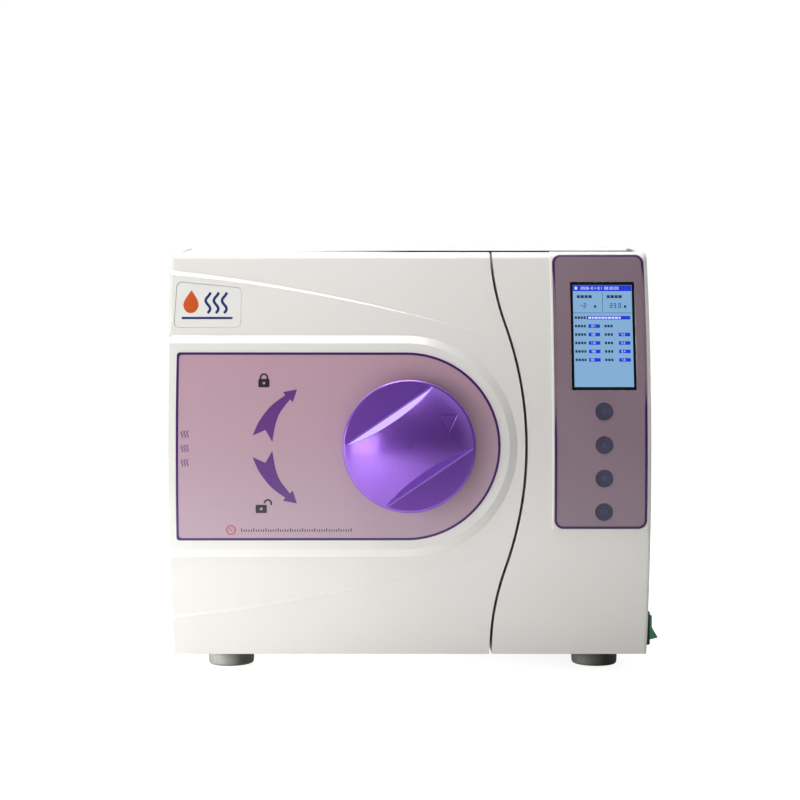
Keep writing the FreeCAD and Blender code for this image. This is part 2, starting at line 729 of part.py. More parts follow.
def front_frame():
    """Flat steel plate behind the front mouldings, open around the chamber's flange."""
    half = "(hood_width / 2 - sheet - 0.2)"
    ahead = "-frame_front - 5"
    plate = block("frame_plate", (f"-{half}", "-frame_front", 23.7),
                  (half, "2 - frame_front", "hood_top - hem - 0.2"))
    flange = rod("flange_hole", (0, ahead, "axis_height"), "flange_radius + 0.8", 20, ALONG_Y)
    pin = rod("pin_hole", ("interlock_x", ahead, "interlock_z"), "interlock_pin + 0.2", 20, ALONG_Y)
    sensor = rod("sensor_hole", ("interlock_x", ahead, "sensor_z"), 4.2, 20, ALONG_Y)
    cable = block("cable_window", (150, ahead, 250), (225, "5 - frame_front", 300))
    return cut("front_frame", rounded("frame_form", plate, 8.3, plate_corner), flange, pin, sensor, cable)


def base_tray():
    """Folded base with upstanding edges."""
    half = "(hood_width / 2 - sheet - 0.2)"
    front, back = "2.2 - frame_front", "rear_face - 1.7"
    blank = block("tray_blank", (f"-{half}", front, "foot_height"), (half, back, "foot_height + 30"))
    room = block("tray_room", (f"sheet - {half}", f"{front} + sheet", "floor"),
                 (f"{half} - sheet", f"{back} - sheet", "foot_height + 40"))
    holes = [rod(f"tray_hole_{i}", (x, y, "foot_height - 5"), 3, 20) for i, (x, y) in enumerate(foot_spots())]
    return cut("base_tray", blank, room, *holes)


def foot_spots():
    """Plan positions of the four feet."""
    return [(x, y) for x in ("foot_left", "foot_right") for y in ("foot_front", "foot_back")]


def foot_rim(edge):
    """True for a foot's lower outer edge."""
    return edge.BoundBox.ZMax < 1e-3


def feet():
    """Rubber feet, tapered and rounded below, with a counterbore for the screw."""
    pieces = []
    for i, (x, y) in enumerate(foot_spots()):
        blank = cone(f"foot_blank_{i}", (x, y, 0), ("foot_radius - 1", "foot_radius"), "foot_height")
        bore = rod(f"foot_bore_{i}", (x, y, -1), 3, 40)
        seat = rod(f"foot_seat_{i}", (x, y, -1), 6.5, 6)
        pieces.append(cut(f"foot_{i}", rounded(f"foot_form_{i}", blank, 3, foot_rim), bore, seat))
    return fuse("feet", *pieces)


def foot_screws():
    """Screws that hold the feet, with a nut inside the tray."""
    pieces = []
    for i, (x, y) in enumerate(foot_spots()):
        shank = rod(f"foot_shank_{i}", (x, y, 5), 3, 23)
        head = rod(f"foot_head_{i}", (x, y, 2), 6, 3)
        nut = rod(f"foot_nut_{i}", (x, y, "floor"), 5.5, 4.5)
        pieces.append(fuse(f"foot_screw_{i}", shank, head, nut))
    return pieces


# ---- chamber ----------------------------------------------------------------------------------

def chamber():
    """Pressure chamber with a thick front flange and a dished rear end."""
    inner = size("chamber_radius")
    outer = inner + size("chamber_wall")
    deep = size("chamber_depth")
    flange = size("flange_radius")
    dish = 22
    spots = [(0, deep + dish + 3), (0, deep + dish), (inner, deep), (inner, 0), (flange, 0), (flange, 12),
             (outer, 14), (outer, deep)]
    points = [Vector(r, 0, z) for r, z in spots]

    def dished(low, high, rise):
        middle = Vector(high.x * 0.5, 0, high.z + rise * 0.75)
        return Part.Arc(low, middle, high).toShape()

    edges = [Part.makeLine(points[0], points[1]), dished(points[1], points[2], dish)]
    edges += [Part.makeLine(points[i], points[i + 1]) for i in range(2, 7)]
    edges.append(dished(points[0], points[7], dish + 3))
    solid = Part.Face(Part.Wire(edges)).revolve(Vector(0, 0, 0), UP, 360)
    solid.rotate(Vector(0, 0, 0), Vector(1, 0, 0), -90)
    solid.translate(Vector(0, -size("flange_front"), size("axis_height")))
    return feature("chamber", solid)


def insulation():
    """Jacket of felt around the chamber and over its rear end, with a hole for the steam pipe."""
    shell = turned("jacket_shell", (0, -194, "axis_height"), ALONG_Y,
                   [("jacket_inner", 0), ("jacket_outer", 0), ("jacket_outer", 385), (0, 385), (0, 371),
                    ("jacket_inner", 371)])
    return cut("chamber_jacket", shell, rod("jacket_hole", (60, 150, "axis_height"), 7, 60, ALONG_Y))


def heater_bands():
    """Heater bands clamped round the chamber's wall."""
    inner = "chamber_radius + chamber_wall"
    return fuse("heater_bands", *(
        tube(f"heater_band_{i}", (0, start, "axis_height"), inner, f"{inner} + band_thick", 50, ALONG_Y)
        for i, start in enumerate((-150, -60, 30))))


def saddles():
    """Cradles between the tray and the chamber's jacket."""
    pieces = []
    for name, y in (("front", -150), ("back", 90)):
        cradle = block(f"saddle_{name}_block", (-95, y, "floor"), (95, y + 20, 175))
        hollow = rod(f"saddle_{name}_hollow", (0, y - 20, "axis_height"), "jacket_outer", 60, ALONG_Y)
        pieces.append(cut(f"saddle_{name}", cradle, hollow))
    return fuse("chamber_saddles", *pieces)


def shelves():
    """Heights of the three trays."""
    return [f"shelf_low + {i} * shelf_pitch" for i in range(3)]


def tray_rack():
    """Open rack that stands in the chamber: square hoops joined by rails for the trays."""
    parts = []
    back = "rack_back + rack_bar"
    for i, y in enumerate(("rack_front", "(rack_front + rack_back) / 2", "rack_back")):
        rim = block(f"hoop_{i}_rim", ("-rack_half", y, "rack_low"),
                    ("rack_half", f"{y} + rack_bar", "rack_high"))
        room = block(f"hoop_{i}_room", ("rack_bar - rack_half", f"{y} - 1", "rack_low + rack_bar"),
                     ("rack_half - rack_bar", f"{y} + rack_bar + 1", "rack_high - rack_bar"))
        parts.append(cut(f"hoop_{i}", rim, room))
    rails = (("left", "-rack_half", "rack_bar - rack_half"), ("right", "rack_half - rack_bar", "rack_half"))
    for side, left, right in rails:
        for level, z in (("low", "rack_low"), ("high", "rack_high - rack_bar")):
            parts.append(block(f"rail_{side}_{level}", (left, "rack_front", z),
                               (right, back, f"{z} + rack_bar")))
    runners = (("left", "1 - rack_half", "9 - rack_half"), ("right", "rack_half - 9", "rack_half - 1"))
    for side, left, right in runners:
        for i, z in enumerate(shelves()):
            parts.append(block(f"runner_{side}_{i}", (left, "rack_front", f"{z} - 2.5"), (right, back, z)))
    return fuse("tray_rack", *parts)


def short_upright(edge):
    """True for an upright edge longer than a sheet's thickness."""
    return upright(edge) and edge.Length > 4


def trays():
    """Shallow perforated trays with round corners."""
    pieces = []
    for n, z in enumerate(shelves()):
        blank = block(f"tray_{n}_blank", ("-tray_half", "tray_front", z),
                      ("tray_half", "tray_back", f"{z} + tray_deep"))
        room = block(f"tray_{n}_room", ("1 - tray_half", "tray_front + 1", f"{z} + 1"),
                     ("tray_half - 1", "tray_back - 1", f"{z} + tray_deep + 4"))
        holes = [rod(f"tray_{n}_hole_{i}_{j}", (30 * i - 45, f"tray_front + 22 + {30 * j}", f"{z} - 1"), 4, 4)
                 for i in range(4) for j in range(9)]
        pieces.append(cut(f"tray_{n}", rounded(f"tray_{n}_form", blank, 8, short_upright),
                          rounded(f"tray_{n}_hollow", room, 7, short_upright), *holes))
    return fuse("trays", *pieces)


# ---- water, steam and air ---------------------------------------------------------------------

def tank(label, low, high):
    """A closed moulded tank with rounded upright corners."""
    blank = block(label + "_blank", low, high)
    room = block(label + "_room", [f"{a} + tank_wall" for a in low], [f"{b} - tank_wall" for b in high])
    return cut(label, rounded(label + "_form", blank, 10, short_upright),
               rounded(label + "_hollow", room, 7.5, short_upright))


def clean_tank():
    """Upper right tank with a filler neck under the lid."""
    body = tank("clean_tank_body", ("tank_inner", "tank_front", "tank_low"), ("tank_outer", "tank_back", 410))
    neck = block("neck_outside", ("lid_x - 50", "lid_y - 30", 405),
                 ("lid_x + 50", "lid_y + 30", "hood_top - 1"))
    bore = block("neck_inside", ("lid_x - 47.5", "lid_y - 27.5", 400),
                 ("lid_x + 47.5", "lid_y + 27.5", "hood_top + 1"))
    return cut("clean_tank", fuse("clean_tank_outside", body, neck), bore)


def waste_tank():
    """Upper left tank."""
    return tank("waste_tank", ("-tank_outer", "tank_front", "tank_low"), ("-tank_inner", "tank_back", 415))


def lid_rim(edge):
    """True for the filler lid's top edges."""
    return edge.BoundBox.ZMin > size("hood_top") + 5 - 1e-3


def tank_lid():
    """Filler lid with a finger scoop and rear knuckles."""
    back = "(lid_y + lid_deep / 2)"
    front = "(lid_y - lid_deep / 2)"
    top = "(hood_top + 5)"
    blank = block("lid_blank", ("lid_x - lid_wide / 2", front, "hood_top + 0.3"),
                  ("lid_x + lid_wide / 2", back, top))
    cover = rounded("lid_form", rounded("lid_corners", blank, 8, short_upright), 1.5, lid_rim)
    scoop = doc.addObject("Part::Sphere", "lid_scoop")
    bind(scoop, "Radius", 26)
    place(scoop, ("lid_x", f"{front} + 14", f"{top} + 23"))
    axis = (f"{back} + 4", f"{top} - 1")
    knuckles = []
    bores = []
    for side, x in (("left", "lid_x - 53"), ("right", "lid_x + 37")):
        knuckles.append(rod(f"knuckle_{side}", (x, *axis), 3.5, 16, ALONG_X))
        knuckles.append(block(f"knuckle_web_{side}", (x, f"{back} - 4", f"{top} - 3"),
                              (f"{x} + 16", f"{back} + 4", top)))
        bores.append(rod(f"knuckle_bore_{side}", (f"{x} - 2", *axis), 1.55, 20, ALONG_X))
    return cut("tank_lid", fuse("lid_outside", cover, *knuckles), scoop, *bores)


def lid_hinge():
    """Fixed ears and pins of the filler lid."""
    y, z = "lid_y + lid_deep / 2 + 4", "hood_top + 4"
    pieces = []
    for side, x in (("left", "lid_x - 45"), ("right", "lid_x + 45")):
        parts = [rod(f"lid_pin_{side}", (f"{x} - 13", y, z), 1.5, 26, ALONG_X)]
        for end, start in (("outer", f"{x} - 13"), ("inner", f"{x} + 8.5")):
            parts.append(rod(f"lid_ear_{side}_{end}", (start, y, z), 3.5, 4.5, ALONG_X))
            parts.append(block(f"lid_foot_{side}_{end}", (start, f"{y} - 3.5", "hood_top"),
                               (f"{start} + 4.5", f"{y} + 3.5", z)))
        pieces.append(fuse(f"lid_hinge_{side}", *parts))
    return fuse("lid_hinge", *pieces)


def water_pump():
    """Small pump on the tray's right side."""
    return fuse("water_pump", block("pump_head", (140, -120, "floor"), (200, -70, 70)),
                rod("pump_motor", (170, -70, 46), 20, 60, ALONG_Y))


def vacuum_pump():
    """Diaphragm vacuum pump: a motor lying along Y with two heads."""
    motor = rod("vacuum_motor", (180, 60, 58), 35, 110, ALONG_Y)
    foot = block("vacuum_foot", (150, 70, "floor"), (210, 160, 30))
    heads = [block(f"vacuum_head_{i}", (150, y, 80), (210, y + 36, 135)) for i, y in enumerate((66, 124))]
    return fuse("vacuum_pump", motor, foot, *heads)


def solenoid_valves():
    """Row of valves on the tray's left front."""
    pieces = []
    for i in range(4):
        x = -220 + 26 * i
        body = block(f"valve_body_{i}", (x, -130, 30), (x + 20, -106, 50))
        coil = rod(f"valve_coil_{i}", (x + 10, -118, 50), 9, 28)
        foot = block(f"valve_foot_{i}", (x + 2, -128, "floor"), (x + 18, -108, 30))
        pieces.append(fuse(f"valve_{i}", body, coil, foot))
    return pieces


def steam_generator():
    """Upright boiler beside the chamber on the left."""
    return fuse("steam_generator", block("boiler_base", (-215, -30, "floor"), (-155, 30, 40)),
                rod("boiler_pot", (-185, 0, 40), 32, 130), rod("boiler_lid", (-185, 0, 170), 36, 6))


def condenser():
    """Finned cooling block in front of the fan."""
    core = block("condenser_core", ("fan_x - 52", 205, "fan_z - 50"), ("fan_x + 53.5", 209, "fan_z + 50"))
    fins = [block(f"condenser_fin_{i}", (f"fan_x - 52 + {8 * i}", 195, "fan_z - 50"),
                  (f"fan_x - 50.5 + {8 * i}", 225, "fan_z + 50")) for i in range(14)]
    caps = [block(f"condenser_cap_{end}", ("fan_x - 52", 195, low), ("fan_x + 53.5", 225, f"{low} + 4"))
            for end, low in (("low", "fan_z - 54"), ("high", "fan_z + 50"))]
    return fuse("condenser", core, *fins, *caps)


def fan_housing():
    """Square axial fan frame with a motor seat on four spokes."""
    back = "rear_face - sheet"
    reach = "fan_radius + 3"
    frame = block("fan_frame", ("fan_x - fan_radius - 5", f"{back} - 26", "fan_z - fan_radius - 5"),
                  ("fan_x + fan_radius + 5", back, "fan_z + fan_radius + 5"))
    bore = rod("fan_bore", ("fan_x", f"{back} - 30", "fan_z"), "fan_radius + 1", 40, ALONG_Y)
    seat = rod("fan_seat", ("fan_x", f"{back} - 26", "fan_z"), 17, 4, ALONG_Y)
    shaft = rod("fan_shaft", ("fan_x", f"{back} - 22", "fan_z"), 2, 14, ALONG_Y)
    across = block("fan_spoke_across", (f"fan_x - {reach}", f"{back} - 26", "fan_z - 2"),
                   (f"fan_x + {reach}", f"{back} - 22", "fan_z + 2"))
    upward = block("fan_spoke_up", ("fan_x - 2", f"{back} - 26", f"fan_z - {reach}"),
                   ("fan_x + 2", f"{back} - 22", f"fan_z + {reach}"))
    return fuse("fan_housing", cut("fan_ring", frame, bore), seat, shaft, across, upward)


def fan_rotor():
    """Hub with seven pitched blades."""
    x, z, radius = size("fan_x"), size("fan_z"), size("fan_radius")
    start = size("rear_face") - size("sheet") - 20
    hub = Part.makeCylinder(18, 16, Vector(0, 0, 0), BACK)
    blades = []
    for i in range(7):
        blade = box((15, -1, -14), (radius - 1, 1, 14))
        blade.rotate(Vector(0, 0, 0), Vector(1, 0, 0), 38)
        blade.translate(Vector(0, 8, 0))
        blade = blade.common(Part.makeCylinder(radius - 1, 14.5, Vector(0, 0.75, 0), BACK))
        blade.rotate(Vector(0, 0, 0), BACK, 360 / 7 * i)
        blades.append(blade)
    rotor = hub.fuse(blades)
    rotor.translate(Vector(x, start, z))
    return feature("fan_rotor", rotor.cut(Part.makeCylinder(2.05, 20, Vector(x, start - 2, z), BACK)))


def fan_guard():
    """Wire guard of rings and spokes on the rear panel."""
    x, z = size("fan_x"), size("fan_z")
    at = Vector(x, size("rear_face") + 2.5, z)
    hoops = [Part.makeTorus(radius, 1.2, at, BACK) for radius in (16, 26, 36, 46, 57)]
    arms = []
    for i in range(4):
        turn = math.radians(45 + 90 * i)
        toward = Vector(math.cos(turn), 0, math.sin(turn))
        arms.append(Part.makeCylinder(1, 49, at + toward * 14 - BACK * 1.4, toward))
        arms.append(Part.makeCylinder(4, 2.2, at + toward * 64 - BACK * 2.5, BACK))
    return feature("fan_guard", hoops[0].fuse(hoops[1:] + arms))


def hose_spigots():
    """Two hose spigots through the rear panel, each with a collar and a through bore."""
    return fuse("hose_spigots", *(
        turned(f"{name}_spigot", (name + "_x", "rear_face", name + "_z"), ALONG_Y,
               [(2.5, -16), (4, -16), (4, -8), (6, -8), (6, 0), (9, 0), (9, 4), (4, 4), (4, 22), (2.5, 22)])
        for name in ("exhaust", "drain")))


def safety_valve():
    """Brass relief valve with a pull ring."""
    body = turned("valve_stem", ("safety_x", "rear_face", "safety_z"), ALONG_Y,
                  [(0, -30), (8, -30), (8, 0), (12, 0), (12, 4), (8, 4), (8, 22), (6, 22), (6, 30), (0, 30)])
    ring = doc.addObject("Part::Torus", "pull_ring")
    bind(ring, "Radius1", 9)
    bind(ring, "Radius2", 1.2)
    place(ring, ("safety_x", "rear_face + 38", "safety_z"), ALONG_X)
    return fuse("safety_valve", body, ring)


def air_filter():
    """Bacteria filter: a drum on a screwed stem behind the rear panel."""
    return turned("air_filter", ("filter_x", "rear_face", "filter_z"), ALONG_Y,
                  [(0, -20), (8, -20), (8, 0), (11, 0), (11, 4), (23, 4), (26, 7), (26, 35), (23, 38),
                   (5, 38), (5, 46), (0, 46)])


def hose(points, radius, bend=10):
    """A round hose along straight runs with rounded corners."""
    spots = [Vector(*p) for p in points]
    edges = []
    last = spots[0]
    for before, corner, after in zip(spots, spots[1:], spots[2:]):
        entry = corner + (before - corner).normalize() * bend
        leave = corner + (after - corner).normalize() * bend
        middle = corner + ((entry + leave) * 0.5 - corner) * (2 - math.sqrt(2))
        edges += [Part.makeLine(last, entry), Part.Arc(entry, middle, leave).toShape()]
        last = leave
    edges.append(Part.makeLine(last, spots[-1]))
    path = Part.Wire(edges)
    ring = Part.Wire(Part.makeCircle(radius, spots[0], (spots[1] - spots[0]).normalize()))
    return path.makePipeShell([ring], True, False, 2)


def hoses():
    """Silicone hoses between the pumps, valves, tanks and spigots."""
    exhaust_x, exhaust_z = size("exhaust_x"), size("exhaust_z")
    drain_x, drain_z = size("drain_x"), size("drain_z")
    inside = size("rear_face") - 16
    return feature("hoses", Part.makeCompound([
        hose([(exhaust_x, inside, exhaust_z), (exhaust_x, 215, exhaust_z), (226, 215, exhaust_z),
              (226, 215, 200), (226, 40, 200), (226, 40, 110)], 4.5),
        hose([(drain_x, inside, drain_z), (drain_x, 235, drain_z), (214, 235, drain_z),
              (214, 235, 340)], 4.5),
        hose([(-210, -118, 79), (-210, -118, 380), (-210, 59, 380)], 4),
    ]))


# ---- electrics --------------------------------------------------------------------------------

def lean_back(part):
    """Lean a display part back by the display's tilt about the middle of the display's face."""
    middle = Vector(size("display_x"), size("display_face"), size("display_z"))
    part.Placement = Placement(Vector(0, 0, 0), Rotation(Vector(1, 0, 0), -size("display_tilt")), middle)
    return part


def display_sheet(label, grow, near, far):
    """A flat block behind the display's face, grown beyond its picture."""
    wide, tall = f"(display_wide / 2 + {grow[0]})", f"(display_tall / 2 + {grow[1]})"
    return block(label, (f"display_x - {wide}", f"display_face + {near}", f"display_z - {tall}"),
                 (f"display_x + {wide}", f"display_face + {far}", f"display_z + {tall}"))


def display_frame():
    """The display's dark frame."""
    rim = display_sheet("display_rim", (2, 1.8), 0, 6)
    return lean_back(cut("display_frame", rim, display_sheet("display_room", (0, 0), -1, 7)))


def display_panel():
    """The display's panel and the metal can behind it."""
    glass = display_sheet("display_glass", (0, 0), 0.6, 6)
    return lean_back(fuse("display_panel", glass, display_sheet("display_can", (0, -2), 6, 9)))


def key_heights():
    """Heights of the four keys from the lowest."""
    return [f"key_low + {i} * key_pitch" for i in range(4)]


def control_board():
    """Circuit board behind the keys, with its larger parts and a tall switch under each key."""
    parts = [block("board_sheet", (142, -250, 150), (233, -248.4, 284)),
             block("board_chip", (150, -248.4, 170), (170, -245.4, 190)),
             block("board_relay", (200, -248.4, 160), (225, -238, 180)),
             block("board_socket", (150, -248.4, 220), (164, -236, 256))]
    parts += [rod(f"key_switch_{i}", ("key_x", -272.5, z), 4, 22.5, ALONG_Y)
              for i, z in enumerate(key_heights())]
    return fuse("control_board", *parts)


def power_board():
    """Power board on the left wall with heat sink and capacitors."""
    parts = [block("power_sheet", (-226, -60, 185), (-224.4, 50, 320)),
             block("heat_sink", (-224.4, -50, 200), (-200, -20, 300)),
             block("transformer", (-224.4, 10, 200), (-204, 40, 230))]
    parts += [rod(f"capacitor_{i}", (-224.4, 25, z), 8, 24, ALONG_X) for i, z in enumerate((250, 275, 300))]
    return fuse("power_board", *parts)


def power_inlet():
    """Mains inlet set in the rear panel."""
    body = block("inlet_body", ("inlet_x - 13.5", "rear_face - 22", "inlet_z - 10.5"),
                 ("inlet_x + 13.5", "rear_face", "inlet_z + 10.5"))
    flange = block("inlet_flange", ("inlet_x - 24", "rear_face", "inlet_z - 14"),
                   ("inlet_x + 24", "rear_face + 3", "inlet_z + 14"))
    room = block("inlet_room", ("inlet_x - 11.5", "rear_face - 16", "inlet_z - 8"),
                 ("inlet_x + 11.5", "rear_face + 4", "inlet_z + 8"))
    pins = [block(f"inlet_pin_{i}", (f"inlet_x + {dx - 1}", "rear_face - 17", f"inlet_z + {dz - 2.5}"),
                  (f"inlet_x + {dx + 1}", "rear_face - 3", f"inlet_z + {dz + 2.5}"))
            for i, (dx, dz) in enumerate(((-7, -2), (0, 2), (7, -2)))]
    return fuse("power_inlet", cut("inlet_shell", fuse("inlet_blank", body, flange), room), *pins)


def door_interlock():
    """Solenoid behind the front frame, and the plunger switch that the closed door trips."""
    coil = block("interlock_coil", ("interlock_x - 15", "2 - frame_front", "interlock_z - 13"),
                 ("interlock_x + 15", -165, "interlock_z + 13"))
    bore = rod("interlock_bore", ("interlock_x", -220, "interlock_z"), "interlock_pin + 0.06", 60, ALONG_Y)
    switch = block("sensor_body", ("interlock_x - 8", "2 - frame_front", "sensor_z - 10"),
                   ("interlock_x + 8", -190, "sensor_z + 10"))
    plunger = rod("sensor_plunger", ("interlock_x", -217, "sensor_z"), 4, 5, ALONG_Y)
    return fuse("door_interlock", cut("interlock_shell", coil, bore), fuse("door_sensor", switch, plunger))


def rocker_body():
    """Rocker with two leaning faces and arm-long ends, pressed in at its top."""
    arm = size("rocker_arm")
    half = 12
    tip = math.sqrt(arm ** 2 - half ** 2)
    dip = tip - half * math.tan(math.radians(size("rocker_tilt")))
    wide = size("rocker_wide")
    points = [(-4, -11.5), (-4, 11.5), (tip, half), (dip, 0), (tip, -half)]
    corners = [Vector(x, -wide / 2, z) for x, z in points]
    rocker = Part.Face(Part.Wire(lines(*corners, corners[0]))).extrude(Vector(0, wide, 0))
    tips = [e for e in rocker.Edges if e.BoundBox.YLength > 10 and e.BoundBox.XMin > tip - 0.5]
    rocker = rocker.makeFillet(0.8, tips)
    rocker.rotate(Vector(0, 0, 0), BACK, -size("rocker_tilt"))
    rocker.translate(Vector(size("rocker_x"), size("rocker_y"), size("rocker_z")))
    return feature("power_rocker", rocker)


def rim_front(edge):
    """True for the outer edges of the switch's rim."""
    return edge.BoundBox.XMin > size("body_width") / 2 + 3


def switch_housing():
    """Rocker housing in the column's right wall, with a raised rim."""
    face = "body_width / 2"
    body = block("switch_body", (f"{face} - 12", "rocker_y - 11", "rocker_z - 15"),
                 (face, "rocker_y + 11", "rocker_z + 15"))
    rim = block("switch_rim", (face, "rocker_y - 13", "rocker_z - 17"),
                (f"{face} + 4", "rocker_y + 13", "rocker_z + 17"))
    room = block("switch_room", (f"{face} - 10.5", "rocker_y - 10", "rocker_z - 13.3"),
                 (f"{face} + 5", "rocker_y + 10", "rocker_z + 13.3"))
    outside = fuse("switch_outside", body, rounded("switch_rim_form", rim, 1.5, rim_front))
    return cut("switch_housing", outside, room)


def loom():
    """Cable loom from the boards to the inlet."""
    x, z = size("inlet_x"), size("inlet_z")
    return feature("wiring_loom", Part.makeCompound([
        hose([(x, 255, z), (x, 230, z), (x, 230, 30), (x - 30, 230, 30), (x - 30, -165, 30), (222, -165, 30),
              (222, -165, 160), (222, -205, 160)], 3, 8),
        hose([(x - 36, 190, 27), (-130, 190, 27), (-130, 120, 27), (-222, 120, 27),
              (-222, 120, 250), (-222, 55, 250)], 3, 8),
    ]))


def screw_head(label, at, rotation):
    """Pan head of a screw on an outer face, with a round recess."""
    return turned(label, at, rotation, [(0, 0), (4, 0), (4, 2), (1.8, 2), (1.8, 1), (0, 1)])


def cabinet_screws():
    """Screws of the feet, along the hood's lower edges and round the rear panel."""
    half = "hood_width / 2"
    pieces = foot_screws()
    for i, y in enumerate((-120, 30, 180)):
        pieces.append(screw_head(f"screw_left_{i}", (f"-{half}", y, 34), ALONG_X.inverted()))
        pieces.append(screw_head(f"screw_right_{i}", (half, y, 34), ALONG_X))
    rows = ((-225, 40), (-225, 230), (-225, 410), (225, 40), (225, 230), (225, 410), (0, 418), (0, 34))
    for i, (x, z) in enumerate(rows):
        pieces.append(screw_head(f"screw_rear_{i}", (x, "rear_face", z), ALONG_Y))
    return fuse("cabinet_screws", *pieces)


# ---- turned lock parts ------------------------------------------------------------------------

TOWARD_FRONT = Rotation(Vector(1, 0, 0), 90)


def on_axis(label, y, *loops):
    """A body turned about the lock's axis, with heights counted toward the front from y."""
    return turned(label, (0, y, "axis_height"), TOWARD_FRONT, *loops)


def pressure_plate():
    """Door plate that closes the chamber, with a groove for its gasket."""
    return on_axis("pressure_plate", "-frame_front", [
        (0, 2), (90, 2), (96, 0), ("gasket_inner", 0), ("gasket_inner", 4), ("gasket_outer", 4),
        ("gasket_outer", 0), ("plate_radius", 0), ("plate_radius", 10), (0, 10)])


def door_gasket():
    """Silicone ring in the pressure plate's groove."""
    return on_axis("door_gasket", "-frame_front", [
        ("gasket_inner", -0.2), ("gasket_inner + 1", -0.8), ("gasket_outer - 1", -0.8),
        ("gasket_outer", -0.2), ("gasket_outer", 4), ("gasket_inner", 4)])


def knob_spindle():
    """Steel shaft between the knob and the cam disc."""
    long = "knob_back + knob_base + 5 - 227.3"
    return on_axis("knob_spindle", -227.3, [
        (0, 0), ("spindle_radius", 0), ("spindle_radius", long), (0, long)])


def spindle_bush():
    """Bearings of the spindle: one on the carrier plate and one in the door moulding."""
    bore = "spindle_radius + 0.05"
    inner = on_axis("carrier_bush", -227, [(bore, 0), (20, 0), (20, 1.8), (13, 1.8), (13, 12), (bore, 12)])
    outer = on_axis("cover_bush", -274, [(bore, 0), (20, 0), (20, 2), (16.9, 2), (16.9, 10.6), (bore, 10.6)])
    return fuse("spindle_bush", inner, outer)


def hinge_pins():
    """Steel pins through the hinge lugs and knuckles."""
    return fuse("hinge_pins", *(
        rod(f"hinge_pin_{end}", ("hinge_x", "hinge_y", f"lug_{end} - 12.5"), "hinge_pin", "lug_tall + 25")
        for end in ("low", "high")))


def interlock_pin():
    """Interlock pin, drawn back."""
    return rod("interlock_pin", ("interlock_x", -214.5, "interlock_z"), "interlock_pin", 36, ALONG_Y)


# ---- sub-parts --------------------------------------------------------------------------------

made = [
    feature("door_cover", door_cover()), feature("door_film", door_film()), feature("makers_plate", badge()),
    feature("door_liner", door_liner()), feature("carrier_plate", carrier_plate()), feature("knob", knob()),
    feature("cam_disc", cam_disc()), feature("control_column", control_column()),
    feature("control_film", column_film()), feature("lock_keepers", lock_keepers()),
    pressure_plate(), door_gasket(), knob_spindle(), spindle_bush(), hinge_pins(), hinge_brackets(),
    hood(), rear_panel(), front_frame(), base_tray(), feet(), cabinet_screws(), chamber(), insulation(),
    heater_bands(), saddles(), tray_rack(), trays(), clean_tank(), waste_tank(), tank_lid(), lid_hinge(),
    fuse("pumps_and_valves", water_pump(), vacuum_pump(), *solenoid_valves()), steam_generator(),
    condenser(), fan_housing(), fan_rotor(), fan_guard(), hose_spigots(), safety_valve(), air_filter(),
    hoses(), display_frame(), display_panel(), control_board(), power_board(), power_inlet(),
    door_interlock(), interlock_pin(), rocker_body(), switch_housing(), loom(),
]
made += [feature(f"lock_bolt_{i}", bolt(angle)) for i, angle in enumerate(bolt_angles(), start=1)]
key_names = ("set", "down", "up", "start")
made += [feature(f"key_{name}", key(height)) for name, height in zip(key_names, key_heights())]

doc.recompute()
failed = [thing.Name for thing in doc.Objects if {"Invalid", "Error"} & set(thing.State)]
if failed:
    raise SystemExit(f"these objects did not compute: {failed}")
for part in made:
    if part.Shape.isNull() or not part.Shape.isValid() or part.Shape.Volume <= 0:
        raise SystemExit(f"{part.Label} has no valid solid")

os.makedirs("parts", exist_ok=True)
for part in made:
    part.Shape.exportStep(f"parts/{part.Label}.step")
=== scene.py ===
"""Looks of the benchtop autoclave: materials, printed graphics, display picture, floor, lights, camera."""
import math

import bmesh
import bpy
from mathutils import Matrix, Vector
from mathutils.bvhtree import BVHTree
from mathutils.geometry import tessellate_polygon


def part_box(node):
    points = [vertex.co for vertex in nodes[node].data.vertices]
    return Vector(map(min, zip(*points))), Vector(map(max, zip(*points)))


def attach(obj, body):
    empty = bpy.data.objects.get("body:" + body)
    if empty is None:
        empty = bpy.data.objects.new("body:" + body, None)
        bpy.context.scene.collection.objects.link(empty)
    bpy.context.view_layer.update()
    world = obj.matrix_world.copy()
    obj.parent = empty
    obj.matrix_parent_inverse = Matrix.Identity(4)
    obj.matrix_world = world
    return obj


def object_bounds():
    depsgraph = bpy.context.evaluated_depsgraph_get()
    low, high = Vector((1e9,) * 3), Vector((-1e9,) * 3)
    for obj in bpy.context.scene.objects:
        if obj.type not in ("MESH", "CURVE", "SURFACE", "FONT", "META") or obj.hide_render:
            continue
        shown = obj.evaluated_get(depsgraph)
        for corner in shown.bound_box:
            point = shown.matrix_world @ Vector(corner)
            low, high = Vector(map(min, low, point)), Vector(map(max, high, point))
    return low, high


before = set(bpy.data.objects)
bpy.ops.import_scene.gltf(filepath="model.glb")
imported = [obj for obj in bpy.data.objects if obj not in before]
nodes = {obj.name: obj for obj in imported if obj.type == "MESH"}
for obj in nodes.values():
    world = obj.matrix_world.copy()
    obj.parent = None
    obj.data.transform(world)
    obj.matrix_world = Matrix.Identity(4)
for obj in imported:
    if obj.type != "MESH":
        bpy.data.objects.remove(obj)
cad_box = [list(corner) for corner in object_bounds()]
MM = 0.001
BOLTS = [name for name in nodes if name.startswith("lock_bolt")]
KEYS = [name for name in nodes if name.startswith("key_")]
HOOD = ["outer_hood", "tank_lid", "lid_hinge"]


# ---- node helpers -----------------------------------------------------------------------------

